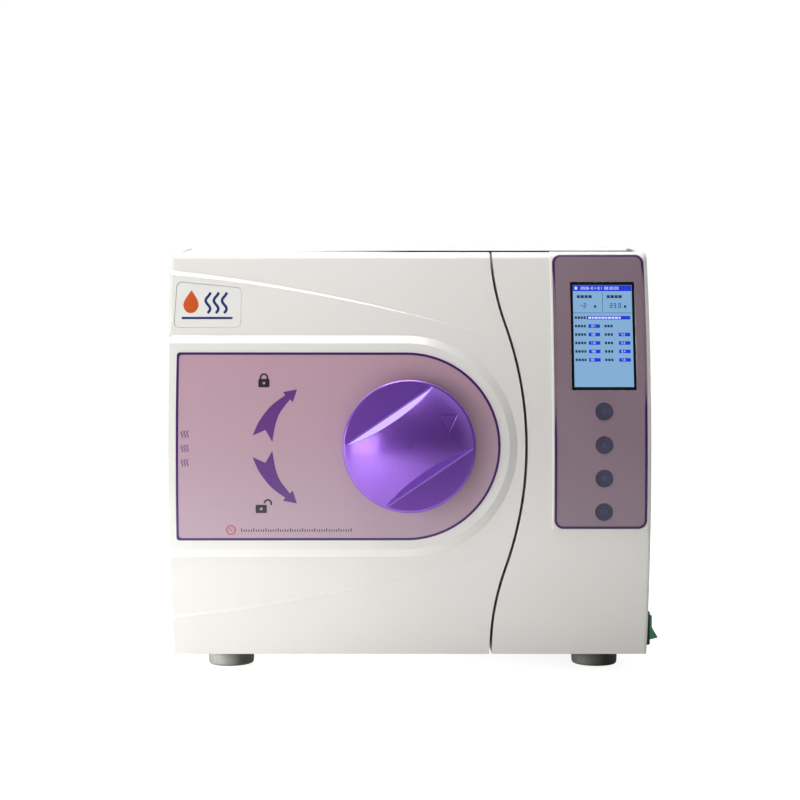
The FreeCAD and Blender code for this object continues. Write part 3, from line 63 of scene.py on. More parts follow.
class Paint:
    """A material being built: small helpers over its node tree."""

    def __init__(self, name):
        self.material = bpy.data.materials.new(name)
        self.material.use_nodes = True
        self.tree = self.material.node_tree
        self.shader = self.tree.nodes["Principled BSDF"]
        self.place = self.tree.nodes.new("ShaderNodeTexCoord").outputs["Object"]

    def add(self, kind, inputs=(), **settings):
        """A node with its settings and its inputs, which are values or sockets."""
        node = self.tree.nodes.new(kind)
        for key, setting in settings.items():
            setattr(node, key, setting)
        for key, given in dict(inputs).items():
            self.feed(node.inputs[key], given)
        return node

    def feed(self, socket, given):
        """Set a socket to a value or link it to another socket."""
        if isinstance(given, bpy.types.NodeSocket):
            self.tree.links.new(given, socket)
        else:
            socket.default_value = given

    def stretched(self, scale):
        """Object coordinates scaled by axis."""
        return self.add("ShaderNodeMapping", {"Vector": self.place, "Scale": scale}).outputs["Vector"]

    def noise(self, scale, detail=3.0, rough=0.5, vector=None):
        """Noise whose scale is in cycles per metre."""
        inputs = {"Vector": vector or self.place, "Scale": scale, "Detail": detail, "Roughness": rough}
        return self.add("ShaderNodeTexNoise", inputs).outputs["Fac"]

    def spread(self, value, low, high, to_low, to_high):
        """A value carried from one range to another, clamped."""
        inputs = {"Value": value, "From Min": low, "From Max": high, "To Min": to_low, "To Max": to_high}
        return self.add("ShaderNodeMapRange", inputs).outputs["Result"]

    def mix(self, share, first, second):
        """A blend of two colours."""
        node = self.add("ShaderNodeMix", data_type="RGBA")
        self.feed(node.inputs["Factor"], share)
        self.feed(node.inputs["A"], first)
        self.feed(node.inputs["B"], second)
        return node.outputs["Result"]

    def along(self, axis, low, high):
        """0 to 1 between two heights along an axis in metres."""
        split = self.add("ShaderNodeSeparateXYZ", {"Vector": self.place})
        return self.spread(split.outputs[axis], low, high, 0.0, 1.0)

    def bump(self, height, distance, strength=1.0, under=None):
        """A bump from a height in 0 to 1, as deep as distance metres."""
        inputs = {"Height": height, "Distance": distance, "Strength": strength}
        if under is not None:
            inputs["Normal"] = under
        return self.add("ShaderNodeBump", inputs).outputs["Normal"]

    def bevel(self, radius, samples=4):
        """A normal that rounds sharp edges."""
        return self.add("ShaderNodeBevel", {"Radius": radius}, samples=samples).outputs["Normal"]

    def likeness(self, first, second):
        """How far two directions agree, from -1 to 1."""
        inputs = {0: first, 1: second}
        return self.add("ShaderNodeVectorMath", inputs, operation="DOT_PRODUCT").outputs["Value"]

    def edge_share(self, width):
        """1 on sharp edges and 0 on flats, from the bevelled normal."""
        plain = self.add("ShaderNodeNewGeometry").outputs["Normal"]
        return self.spread(self.likeness(self.bevel(width), plain), 0.8, 0.98, 1.0, 0.0)

    def finish(self, **inputs):
        """Set the shader's inputs and give the material back."""
        for key, given in inputs.items():
            self.feed(self.shader.inputs[key.replace("_", " ")], given)
        return self.material


WHITE = (1, 1, 1, 1)


def rgb(code):
    """A linear colour from a hexadecimal sRGB one."""
    parts = [int(code[i:i + 2], 16) / 255 for i in (0, 2, 4)]
    return (*((c / 12.92 if c <= 0.04045 else ((c + 0.055) / 1.055) ** 2.4) for c in parts), 1.0)


# ---- materials --------------------------------------------------------------------------------

def moulded(name, light, dark, rough, grain, depth, coat=0.0):
    """Moulded plastic: faint cloudiness in colour, uneven gloss and a fine surface grain."""
    paint = Paint(name)
    cloud = paint.spread(paint.noise(5, 2, 0.4), 0.2, 0.8, 0.0, 1.0)
    gloss = paint.spread(paint.noise(14, 2, 0.4), 0.2, 0.8, rough * 0.97, rough * 1.03)
    skin = paint.bump(paint.noise(grain, 2, 0.4), depth, under=paint.bevel(0.6 * MM))
    return paint.finish(Base_Color=paint.mix(cloud, rgb(dark), rgb(light)), Roughness=gloss, Normal=skin,
                        Coat_Weight=coat, Coat_Roughness=0.12, IOR=1.5)


def printed_film(name, upper, lower, low_z, high_z):
    """Satin printed label: a soft fade from top to bottom, partly the print's own tint and partly painted
    light that brightens the lower part, with fine print grain.
    """
    paint = Paint(name)
    # partly painted light: the label is lighter towards the bottom, where more light falls from below
    tint_and_light_fade = paint.mix(paint.along("Z", low_z, high_z), rgb(lower), rgb(upper))
    grain = paint.spread(paint.noise(2600, 2, 0.7), 0.3, 0.7, 0.0, 1.0)
    cloud = paint.spread(paint.noise(14, 3), 0.3, 0.7, 0.0, 0.12)
    tint = paint.mix(cloud, tint_and_light_fade, rgb("b49aa6"))
    shade = paint.mix(paint.spread(grain, 0, 1, 0.0, 0.10), tint, rgb("7c6270"))
    rough = paint.spread(paint.noise(120, 4), 0.3, 0.7, 0.34, 0.42)
    return paint.finish(Base_Color=shade, Roughness=rough, Normal=paint.bump(grain, 0.00001, 0.4),
                        Coat_Weight=0.25, Coat_Roughness=0.18)


def ink(name, colour, rough=0.35):
    """Printed ink with a faint dot grain."""
    paint = Paint(name)
    grain = paint.spread(paint.noise(3000, 1), 0.3, 0.7, 0.0, 0.25)
    deep = [c * 0.75 for c in rgb(colour)[:3]] + [1.0]
    return paint.finish(Base_Color=paint.mix(grain, rgb(colour), deep), Roughness=rough,
                        Normal=paint.bump(paint.noise(1500, 2), 0.00001, 0.4), Coat_Weight=0.2)


def knob_paint():
    """Violet satin metallic paint with fine flake under a clear coat.

    The grip's upper wall glows where it is seen at a slant, in place of the glare of a bright ceiling.
    """
    upper_wall = (-0.53, -0.33, 0.78)
    paint = Paint("knob_paint")
    flake = paint.add("ShaderNodeTexVoronoi", {"Vector": paint.place, "Scale": 2600.0}).outputs["Color"]
    value = paint.add("ShaderNodeSeparateColor", {"Color": flake}).outputs["Red"]
    cloud = paint.spread(paint.noise(22, 4), 0.3, 0.7, 0.0, 1.0)
    base = paint.mix(cloud, rgb("834dc2"), rgb("8953c8"))
    sparkle = paint.mix(paint.spread(value, 0.6, 1.0, 0.0, 0.16), base, rgb("b48be0"))
    rough = paint.spread(paint.noise(150, 4), 0.3, 0.7, 0.30, 0.34)
    skin = paint.bump(paint.noise(420, 2, 0.4), 0.00003, 0.5, paint.bevel(1.2 * MM, samples=6))
    slant = paint.add("ShaderNodeLayerWeight").outputs["Facing"]
    glare = paint.spread(slant, 0.45, 0.62, 0.0, 0.8)
    glint = paint.spread(paint.likeness(paint.bevel(3 * MM, samples=8), upper_wall), 0.86, 1.0, 0.0, glare)
    return paint.finish(Base_Color=sparkle, Metallic=0.6, Roughness=rough, Normal=skin, Coat_Weight=0.6,
                        Coat_Roughness=0.14, Emission_Color=rgb("ecdcff"), Emission_Strength=glint)


def powder_coat():
    """Fine-textured powder coat on folded sheet, with a glow on the hood's front lip in place of glare."""
    paint = Paint("powder_coat")
    cloud = paint.spread(paint.noise(6, 3), 0.35, 0.65, 0.0, 1.0)
    low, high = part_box("outer_hood")
    lip_tall, blur = 4 * MM, 0.5 * MM
    ahead = paint.along("Y", low.y + blur, low.y)
    lip = paint.spread(paint.along("Z", high.z - lip_tall - blur, high.z - lip_tall), 0.0, 1.0, 0.0, ahead)
    texture = paint.bump(paint.noise(1500, 3, 0.6), 0.00006, 0.7, paint.bevel(0.8 * MM))
    return paint.finish(Base_Color=paint.mix(cloud, rgb("dddcd9"), rgb("e3e3e0")), Normal=texture,
                        Roughness=paint.spread(paint.noise(300, 3), 0.3, 0.7, 0.42, 0.55),
                        Emission_Color=WHITE, Emission_Strength=paint.spread(lip, 0.0, 1.0, 0.0, 0.5))


def painted_gap_shade():
    """Painted shade on the front plate for the shadowed gap under the hood's lip; its top strip glows pale
    in painted light, most to the left.
    """
    paint = Paint("painted_gap_shade")
    cloud = paint.spread(paint.noise(5, 2, 0.4), 0.2, 0.8, 0.0, 1.0)
    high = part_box("front_frame")[1].z
    strip_tall, blur, palest_x = 2 * MM, 0.5 * MM, -160 * MM
    # painted light: the top strip pales and glows, most towards the left
    strip = paint.along("Z", high - strip_tall - blur, high - strip_tall)
    pale = paint.spread(strip, 0.0, 1.0, 0.0, paint.along("X", 0.0, palest_x))
    # painted shade: this dark colour stands in for the shadow in the gap under the hood's lip
    base = paint.mix(cloud, rgb("2b2b2c"), rgb("232324"))
    return paint.finish(Base_Color=paint.mix(pale, base, rgb("f2f2f0")), Roughness=0.55,
                        Normal=paint.bump(paint.noise(1500, 2, 0.4), 0.00006), Emission_Color=WHITE,
                        Emission_Strength=paint.spread(pale, 0.0, 1.0, 0.0, 0.7))


def metal(name, colour, rough, lines, depth=0.00002):
    """Bare metal with fine working lines along one axis, uneven polish and brighter edges."""
    paint = Paint(name)
    scratch = paint.noise(40, 6, 0.7, paint.stretched(lines))
    tone = paint.mix(paint.spread(scratch, 0.3, 0.7, 0.0, 0.3), rgb(colour), rgb("8c8c8a"))
    # sharp edges lighter, towards near-white
    tone = paint.mix(paint.spread(paint.edge_share(0.6 * MM), 0, 1, 0.0, 0.5), tone, rgb("f0f0f0"))
    finish = paint.spread(scratch, 0.25, 0.75, rough * 0.75, rough * 1.3)
    return paint.finish(Base_Color=tone, Metallic=1.0, Roughness=finish,
                        Normal=paint.bump(scratch, depth, 0.5))


def rubber(name, colour, rough=0.7, grain=1100):
    """Rubber with fine pits and a dusty bloom."""
    paint = Paint(name)
    bloom = paint.spread(paint.noise(45, 5, 0.6), 0.4, 0.7, 0.0, 0.35)
    dusty = [min(1.0, c * 1.9 + 0.01) for c in rgb(colour)[:3]] + [1.0]
    return paint.finish(Base_Color=paint.mix(bloom, rgb(colour), dusty), Roughness=rough,
                        Normal=paint.bump(paint.noise(grain, 3, 0.6), 0.00008, 0.7))


def silicone():
    """Milky silicone."""
    paint = Paint("silicone")
    cloud = paint.spread(paint.noise(60, 3), 0.3, 0.7, 0.0, 1.0)
    return paint.finish(Base_Color=paint.mix(cloud, rgb("d9d4c8"), rgb("e8e5dc")), Roughness=0.42,
                        Subsurface_Weight=0.3, Subsurface_Radius=(0.004, 0.003, 0.002),
                        Normal=paint.bump(paint.noise(900, 2), 0.00003, 0.5))


def felt():
    """Pressed insulating felt with short fibres."""
    paint = Paint("felt")
    fibre = paint.noise(500, 6, 0.75, paint.stretched((1.0, 0.25, 1.0)))
    tone = paint.mix(paint.spread(fibre, 0.3, 0.7, 0, 1), rgb("a39d8d"), rgb("d8d2c2"))
    return paint.finish(Base_Color=tone, Roughness=0.95, Sheen_Weight=0.4,
                        Normal=paint.bump(fibre, 0.6 * MM, 0.9))


def circuit():
    """Solder mask with pale traces and pads."""
    paint = Paint("circuit")
    bricks = paint.add("ShaderNodeTexBrick", {"Vector": paint.place, "Scale": 90.0, "Mortar Size": 0.03,
                                              "Color1": rgb("0f4f2c"), "Color2": rgb("155c35"),
                                              "Mortar": rgb("3f8a58")})
    dots = paint.add("ShaderNodeTexVoronoi", {"Vector": paint.place, "Scale": 260.0}).outputs["Distance"]
    pads = paint.spread(dots, 0.16, 0.2, 1.0, 0.0)
    return paint.finish(Base_Color=paint.mix(pads, bricks.outputs["Color"], rgb("c9b98a")), Roughness=0.4,
                        Normal=paint.bump(pads, 0.1 * MM, 0.6))


def tank_plastic():
    """Translucent blow-moulded polyethylene."""
    paint = Paint("tank_plastic")
    wave = paint.noise(35, 3)
    milk = paint.mix(paint.spread(wave, 0.3, 0.7, 0, 1), rgb("dfe4e4"), rgb("eef1f0"))
    return paint.finish(Base_Color=milk, Roughness=0.45, Subsurface_Weight=0.5,
                        Subsurface_Radius=(0.006, 0.006, 0.006),
                        Normal=paint.bump(wave, 0.0004, 0.5))


def glow(name, colour, strength, grid=0.0):
    """A lit display colour with a faint cell grid."""
    paint = Paint(name)
    shade = rgb(colour)
    if grid:
        cells = paint.add("ShaderNodeTexBrick", {"Vector": paint.stretched((1.0, 0.0, 1.0)), "Scale": 1800.0,
                                                 "Mortar Size": 0.04, "Color1": shade, "Color2": shade,
                                                 "Mortar": [c * (1 - grid) for c in shade[:3]] + [1.0]})
        shade = cells.outputs["Color"]
    return paint.finish(Base_Color=rgb("101018"), Roughness=0.25, Emission_Color=shade,
                        Emission_Strength=strength)


def lit_green():
    """Green translucent switch plastic, lit from inside."""
    paint = Paint("lit_green")
    cloud = paint.spread(paint.noise(160, 3), 0.3, 0.7, 0.0, 1.0)
    return paint.finish(Base_Color=paint.mix(cloud, rgb("0f5a3a"), rgb("1f8055")), Roughness=0.3,
                        Emission_Color=rgb("1d8a58"), Emission_Strength=0.18,
                        Normal=paint.bump(paint.noise(700, 2), 0.00003, 0.5), Coat_Weight=0.3)


def dress(names, material):
    """Give CAD nodes a material."""
    for name in names:
        slots = nodes[name].material_slots
        for held in slots:
            held.material = material
        if not slots:
            nodes[name].data.materials.append(material)


def dress_all():
    """Every CAD node's finish."""
    film_low, film_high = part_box("door_film")
    column_low, column_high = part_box("control_film")
    stainless = metal("stainless", "b9babb", 0.24, (1.0, 18.0, 1.0))
    ground = metal("ground", "b4b5b7", 0.18, (1.0, 12.0, 1.0))
    black_plastic = moulded("black_plastic", "191919", "131313", 0.5, 1300, 0.00006)
    dress(["door_cover", "control_column"], moulded("shell", "ebe9e5", "e8e6e1", 0.26, 520, 0.00002, 0.3))
    dress(["door_liner", "tank_lid"], moulded("liner", "cfcfcb", "c6c6c1", 0.5, 1500, 0.00005))
    dress(["door_film"], printed_film("door_label", "c09aa8", "bba2b0", film_low.z, film_high.z))
    dress(["control_film"],
          printed_film("column_label", "85707c", "917e8b", column_low.z, column_high.z))
    dress(["knob"], knob_paint())
    dress(["outer_hood", "rear_panel", "base_tray"], powder_coat())
    dress(["chamber_saddles", "hinge_brackets", "lid_hinge"],
          metal("zinc", "a9abae", 0.38, (1.0, 1.0, 9.0)))
    dress(["front_frame"], painted_gap_shade())
    dress(["carrier_plate", "lock_keepers", "cam_disc"],
          metal("machined", "9a9b9d", 0.3, (9.0, 1.0, 1.0)))
    dress(BOLTS + ["hinge_pins", "knob_spindle", "interlock_pin"], ground)
    dress(["chamber", "trays", "tray_rack", "steam_generator"], stainless)
    dress(["pressure_plate"], metal("turned_steel", "c0c1c2", 0.2, (1.0, 1.0, 14.0)))
    dress(["cabinet_screws", "fan_guard"], metal("plated", "c6c6c4", 0.22, (4.0, 4.0, 4.0)))
    dress(["door_gasket", "hoses"], silicone())
    dress(["feet"], rubber("foot_rubber", "3b3c37"))
    dress(["makers_plate"], moulded("plate", "ecebe8", "e8e7e4", 0.24, 900, 0.00001, 0.4))
    dress(["display_frame"], moulded("display_black", "0b0b12", "08080e", 0.2, 900, 0.00001, 0.5))
    dress(["display_panel"], glow("display_back", "8fbbe4", 0.9, 0.06))
    dress(KEYS, rubber("key_rubber", "3c3a54", 0.5, 900))
    dress(["control_board", "power_board"], circuit())
    dress(["clean_tank", "waste_tank"], tank_plastic())
    dress(["chamber_jacket"], felt())
    dress(["heater_bands"], metal("heater", "a08a60", 0.45, (1.0, 1.0, 6.0)))
    dress(["hose_spigots", "safety_valve", "spindle_bush"],
          metal("brass", "c9a25a", 0.25, (3.0, 8.0, 3.0)))
    dress(["fan_housing", "fan_rotor", "power_inlet", "switch_housing"], black_plastic)
    dress(["door_interlock", "wiring_loom"], black_plastic)
    dress(["pumps_and_valves", "condenser"], metal("cast", "8f9193", 0.5, (1.0, 1.0, 1.0), 0.0001))
    dress(["air_filter"], moulded("filter", "dfe2e2", "d4d8d8", 0.3, 900, 0.00002))
    dress(["power_rocker"], lit_green())


# ---- printed graphics -------------------------------------------------------------------------

PRINT_LIFT = 0.12 * MM
PRINT_THICK = 0.3 * MM
LONGEST_EDGE = 4 * MM
# Places along the depth: ahead of the whole machine, and about where its front lies.
AHEAD_OF_ALL = -1.0
FRONT_SKIN = -280 * MM


def surface_of(name):
    """A search tree over a CAD node's faces."""
    mesh = nodes[name].data
    return BVHTree.FromPolygons([v.co for v in mesh.vertices], [p.vertices for p in mesh.polygons])


def front_of(tree, x, z):
    """How far back a node's front surface lies at a place, or that of its nearest spot beyond its edge."""
    hit = tree.ray_cast(Vector((x, AHEAD_OF_ALL, z)), Vector((0, 1, 0)))[0]
    if hit is None:
        hit = tree.find_nearest(Vector((x, FRONT_SKIN, z)))[0]
    return hit.y


def object_from(name, bm, material, body):
    """A riding piece from a finished mesh."""
    mesh = bpy.data.meshes.new(name)
    bm.to_mesh(mesh)
    bm.free()
    mesh.materials.append(material)
    piece = bpy.data.objects.new(name, mesh)
    bpy.context.scene.collection.objects.link(piece)
    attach(piece, body)


def fine(bm, longest):
    """Split edges until none is longer than longest."""
    for _ in range(8):
        long = [e for e in bm.edges if e.calc_length() > longest]
        if not long:
            break
        bmesh.ops.subdivide_edges(bm, edges=long, cuts=1)
    bmesh.ops.triangulate(bm, faces=[f for f in bm.faces if len(f.verts) > 3])


def thicken(bm, thick):
    """Turn an open sheet that faces the front into a closed plate of that thickness."""
    for face in bm.faces:
        face.normal_update()
        if face.normal.y > 0:
            face.normal_flip()
    top = list(bm.faces)
    grown = bmesh.ops.extrude_face_region(bm, geom=top, use_keep_orig=True)
    moved = [item for item in grown["geom"] if isinstance(item, bmesh.types.BMVert)]
    for vert in moved:
        vert.co.y += thick
    bmesh.ops.recalc_face_normals(bm, faces=bm.faces)


def printed(name, outlines, tree, material, body):
    """Flat outlines, each a list of loops with the first outside, laid on a curved front surface."""
    bm = bmesh.new()
    for loops in outlines:
        spots = [Vector((x, 0, z)) for loop in loops for x, z in loop]
        flat = [[Vector((x, z, 0)) for x, z in loop] for loop in loops]
        verts = [bm.verts.new(spot) for spot in spots]
        for triple in tessellate_polygon(flat):
            corners = [verts[i] for i in triple]
            if len(set(corners)) == 3:
                try:
                    bm.faces.new(corners)
                except ValueError:
                    continue
    fine(bm, LONGEST_EDGE)
    for vert in bm.verts:
        vert.co.y = front_of(tree, vert.co.x, vert.co.z) - PRINT_LIFT
    thicken(bm, PRINT_THICK)
    object_from(name, bm, material, body)


def arc(cx, cz, radius, start, end, steps):
    """Points along an arc, in degrees."""
    turns = [math.radians(start + (end - start) * i / steps) for i in range(steps + 1)]
    return [(cx + radius * math.cos(t), cz + radius * math.sin(t)) for t in turns]


def disc(cx, cz, radius, steps=32):
    """A round outline."""
    return arc(cx, cz, radius, 0, 360 - 360 / steps, steps - 1)


def rounded_box(left, low, right, high, radius, steps=8):
    """A rectangle with round corners."""
    spots = []
    for cx, cz, start in ((right - radius, high - radius, 0), (left + radius, high - radius, 90),
                          (left + radius, low + radius, 180), (right - radius, low + radius, 270)):
        spots += arc(cx, cz, radius, start, start + 90, steps)
    return spots


def bar(left, low, wide, high):
    """A plain rectangle."""
    return [(left, low), (left + wide, low), (left + wide, low + high), (left, low + high)]


def stroke(spots, wide, closed=False):
    """A line of even width through the spots."""
    count = len(spots)
    left, right = [], []
    for i, (x, z) in enumerate(spots):
        before = spots[i - 1] if i or closed else spots[i]
        after = spots[(i + 1) % count] if i < count - 1 or closed else spots[i]
        dx, dz = after[0] - before[0], after[1] - before[1]
        length = math.hypot(dx, dz) or 1.0
        nx, nz = -dz / length * wide / 2, dx / length * wide / 2
        left.append((x + nx, z + nz))
        right.append((x - nx, z - nz))
    return [left, right] if closed else [left + right[::-1]]


def between(p, q, r, s, t):
    """A value on the way from q to r, whose neighbours are p and s, on a Catmull-Rom curve."""
    bend = 2 * p - 5 * q + 4 * r - s
    twist = 3 * q - p - 3 * r + s
    return 0.5 * (2 * q + (r - p) * t + bend * t * t + twist * t ** 3)


def smooth(spots, steps=6):
    """A curve through the spots."""
    held = [spots[0]] + list(spots) + [spots[-1]]
    out = []
    for four in zip(held, held[1:], held[2:], held[3:]):
        for i in range(steps):
            out.append(tuple(between(*values, i / steps) for values in zip(*four)))
    out.append(spots[-1])
    return out


def scaled(loops, cx, cz, scale=MM, mirror=1):
    """Loops in millimetres about a place, in metres."""
    return [[(cx + x * scale, cz + z * scale * mirror) for x, z in loop] for loop in loops]


def film_outline(inset):
    """The door film's outline pulled in by inset."""
    low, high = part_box("door_film")
    radius = (high.z - low.z) / 2
    middle = (high.z + low.z) / 2
    centre = high.x - radius
    corner = 3 * MM
    r = radius - inset
    left = low.x + inset
    nose = arc(centre, middle, r, -90, 90, 64)
    top = arc(left + corner, middle + r - corner, corner, 90, 180, 8)
    bottom = arc(left + corner, middle - r + corner, corner, 180, 270, 8)
    return nose + top + bottom


def arrow(mirror):
    """The curved arrow beside the knob, about the knob's axis, in millimetres."""
    left = smooth([(-154.2, 10.6), (-149.2, 22.5), (-142.5, 32.7), (-134.5, 41.6), (-122.3, 50.6)])
    head = [(-124.6, 53.6), (-110.8, 56.2), (-115.0, 43.4)]
    right = smooth([(-117.6, 46.4), (-126.8, 34.3), (-131.6, 22.5), (-134.9, 4.3)])
    tail_notch = [(-141.7, 16.2)]
    return scaled([left + head + right + tail_notch], *knob_axis(), MM, mirror)


def knob_axis():
    """The knob's axis in the front view."""
    low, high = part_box("knob")
    return (low.x + high.x) / 2, (low.z + high.z) / 2


def padlock(cx, cz, opened):
    """A small padlock, shut or open, in place of a word."""
    body = rounded_box(-5.5, -5, 5.5, 3.2, 1.2)
    hole = disc(0, -0.9, 1.4, 16)
    lean = 6.5 if opened else 0
    radius, foot, wide = 3.4, 3.0, 1.7
    path = [(lean + radius, foot)] + arc(lean, 4.6, radius, 0, 180, 20)
    if not opened:
        path.append((lean - radius, foot))
    return [scaled([body, hole], cx, cz), scaled(stroke(path, wide), cx, cz)]


def gauge(cx, cz):
    """A pressure gauge face with ticks and a needle, in place of a warning."""
    shapes = [scaled(stroke(disc(0, 0, 4.4, 40), 0.8, True), cx, cz)]
    for degrees in range(-30, 211, 40):
        turn = math.radians(degrees)
        tick = [(reach * math.cos(turn), reach * math.sin(turn)) for reach in (2.7, 3.6)]
        shapes.append(scaled(stroke(tick, 0.45), cx, cz))
    shapes.append(scaled(stroke([(1.2, -1.2), (-1.9, 1.9)], 0.6), cx, cz))
    return shapes


def scale_marks(left, z, count, pitch):
    """A row of upright marks on one line, taller at every fifth."""
    wide, drop = 0.9 * MM, 1.7 * MM
    shapes = []
    for i in range(count):
        tall = 3.4 * MM if i % 5 == 0 else 2.2 * MM
        shapes.append([bar(left + i * pitch, z - drop, wide, tall)])
    return shapes


def steam_marks(cx, cz, size):
    """Three rising waves."""
    apart, rise, low = 3.4, 1.25, -4.4
    shapes = []
    for side in (-1, 0, 1):
        wave = [(side * apart + math.sin(t * 1.1), t * rise + low) for t in range(8)]
        shapes.append(scaled(stroke(smooth(wave, 3), 1.1), cx, cz, size * MM))
    return shapes


def beside_knob(x, z):
    """A place on the front from its offset in millimetres from the knob's axis."""
    knob_x, knob_z = knob_axis()
    return knob_x + x * MM, knob_z + z * MM


def door_graphics():
    """Border, arrows and pictograms on the door film, and the maker's emblem."""
    film = surface_of("door_film")
    violet = ink("arrow_ink", "663a84")
    dark = ink("dark_ink", "2c2430")
    # painted highlight: a thin white ring along the film's edge in place of the light that its edge catches
    edge_highlight = [film_outline(0.05 * MM), film_outline(0.65 * MM)]
    border = [film_outline(0.7 * MM), film_outline(3.1 * MM)]
    series = [loops for i in range(3) for loops in steam_marks(*beside_knob(-221, 12 - 14 * i), 0.8)]
    scale = scale_marks(*beside_knob(-166, -82.5), count=46, pitch=2.4 * MM)
    printed("door_film_edge_highlight", [edge_highlight], film, ink("edge_highlight_white", "f4f2f2", 0.2), "door")
    printed("door_border", [border], film, ink("border_ink", "431a66"), "door")
    printed("arrow_close", [arrow(1)], film, violet, "door")
    printed("arrow_open", [arrow(-1)], film, violet, "door")
    printed("mark_shut", padlock(*beside_knob(-143.5, 63.3), opened=False), film, dark, "door")
    printed("mark_open", padlock(*beside_knob(-146, -60.7), opened=True), film, dark, "door")
    printed("gauge_mark", gauge(*beside_knob(-176, -82.5)), film, ink("red_ink", "b5282c"), "door")
    printed("gauge_scale", scale, film, dark, "door")
    printed("series_mark", series, film, violet, "door")
    emblem()


def emblem():
    """A drop with steam over a bar on the maker's plate."""
    low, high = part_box("makers_plate")
    cx, cz = (low.x + high.x) / 2, (low.z + high.z) / 2
    plate = surface_of("makers_plate")
    navy = ink("navy_ink", "1f2f6b")
    orange = ink("orange_ink", "d1561f")
    right = [(4.4, 2.5), (5.6, -2.2), (3.6, -6.4)]
    left = [(-x, z) for x, z in reversed(right)]
    drop = smooth([(0, 9.5)] + right + [(0, -7.8)] + left + [(0, 9.5)])[:-1]
    printed("emblem_drop", [scaled([drop], cx - 17 * MM, cz + 2 * MM, 1.35 * MM)], plate, orange, "door")
    printed("emblem_steam", steam_marks(cx + 8 * MM, cz + 2 * MM, 2.4), plate, navy, "door")
    printed("emblem_bar", [scaled([rounded_box(-26, -14.6, 25, -12.4, 1)], cx, cz)], plate, navy, "door")


def column_graphics():
    """Border of the column film and the raised symbols of its keys."""
    low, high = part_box("control_film")
    film = surface_of("control_film")
    corner = 9 * MM
    ring = [rounded_box(low.x + inset, low.z + inset, high.x - inset, high.z - inset, corner - inset, 12)
            for inset in (0.3 * MM, 2.6 * MM)]
    printed("column_border", [ring], film, ink("column_border_ink", "40195c"), "root")
    symbols = {
        "key_start": [[disc(0, 0, 2.6, 24), disc(0, 0, 1.7, 24)[::-1]], [disc(0, 0, 0.9, 16)]],
        "key_up": [[[(-3, -2.2), (3, -2.2), (0, 3)]]],
        "key_down": [[[(-3, 2.2), (3, 2.2), (0, -3)]]],
        "key_set": [[rounded_box(-3.2, -2.2, 3.2, 2.2, 0.8), rounded_box(-2.3, -1.3, 2.3, 1.3, 0.4)]],
    }
    mark = ink("key_mark_ink", "55536f", 0.5)
    for key, shapes in symbols.items():
        key_low, key_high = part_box(key)
        place = (key_low.x + key_high.x) / 2, (key_low.z + key_high.z) / 2
        printed(key + "_mark", [scaled(loops, *place) for loops in shapes], surface_of(key), mark, key)


def corner_plugs():
    """Plugs that close the small gaps between the front plate and the hood's two upper corners."""
    hood_low, hood_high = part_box("outer_hood")
    frame_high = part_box("front_frame")[1]
    sheet, hood_bend, hood_gap = 1.5 * MM, 8.5 * MM, 0.1 * MM
    frame_corner, frame_gap = 8.3 * MM, 0.05 * MM
    reach, set_back, thick = 11 * MM, 0.6 * MM, 1.5 * MM
    over = arc(-hood_high.x + sheet + hood_bend, hood_high.z - sheet - hood_bend, hood_bend - hood_gap,
               180, 90, 10)
    under = arc(-frame_high.x + frame_corner, frame_high.z - frame_corner, frame_corner + frame_gap,
                90, 180, 10)
    inside = reach - frame_high.x
    outline = over + [(inside, over[-1][1]), (inside, under[0][1])] + under
    plug_paint = powder_coat()
    for name, side in (("plug_left", 1), ("plug_right", -1)):
        bm = bmesh.new()
        bm.faces.new([bm.verts.new((side * x, hood_low.y + set_back, z)) for x, z in outline])
        bmesh.ops.triangulate(bm, faces=bm.faces)
        thicken(bm, thick)
        object_from(name, bm, plug_paint, "root")


# ---- display picture --------------------------------------------------------------------------

SEGMENTS = {"0": "abcdef", "1": "bc", "2": "abged", "3": "abgcd", "4": "fgbc", "5": "afgcd", "6": "afgecd",
            "7": "abc", "8": "abcdefg", "9": "abfgcd", "-": "g"}


def digits(text, left, low, tall):
    """Seven-bar numerals as rectangles."""
    wide, thick = tall * 0.55, tall * 0.14
    half = tall / 2
    spots = {"a": (0, tall - thick, wide, thick), "b": (wide - thick, half, thick, half),
             "c": (wide - thick, 0, thick, half), "d": (0, 0, wide, thick),
             "e": (0, 0, thick, half), "f": (0, half, thick, half),
             "g": (0, half - thick / 2, wide, thick)}
    shapes = []
    for mark in text:
        if mark in ".:":
            shapes.append(bar(left, low, thick, thick))
            if mark == ":":
                shapes.append(bar(left, low + half, thick, thick))
            left += thick * 2.2
            continue
        for name in SEGMENTS.get(mark, ""):
            x, z, w, h = spots[name]
            shapes.append(bar(left + x, low + z, w, h))
        left += wide * 1.4
    return shapes


def dashes(left, low, widths, tall):
    """A row of short bars in place of a word."""
    shapes = []
    for wide in widths:
        shapes.append(bar(left, low, wide, tall))
        left += wide + 0.7
    return shapes


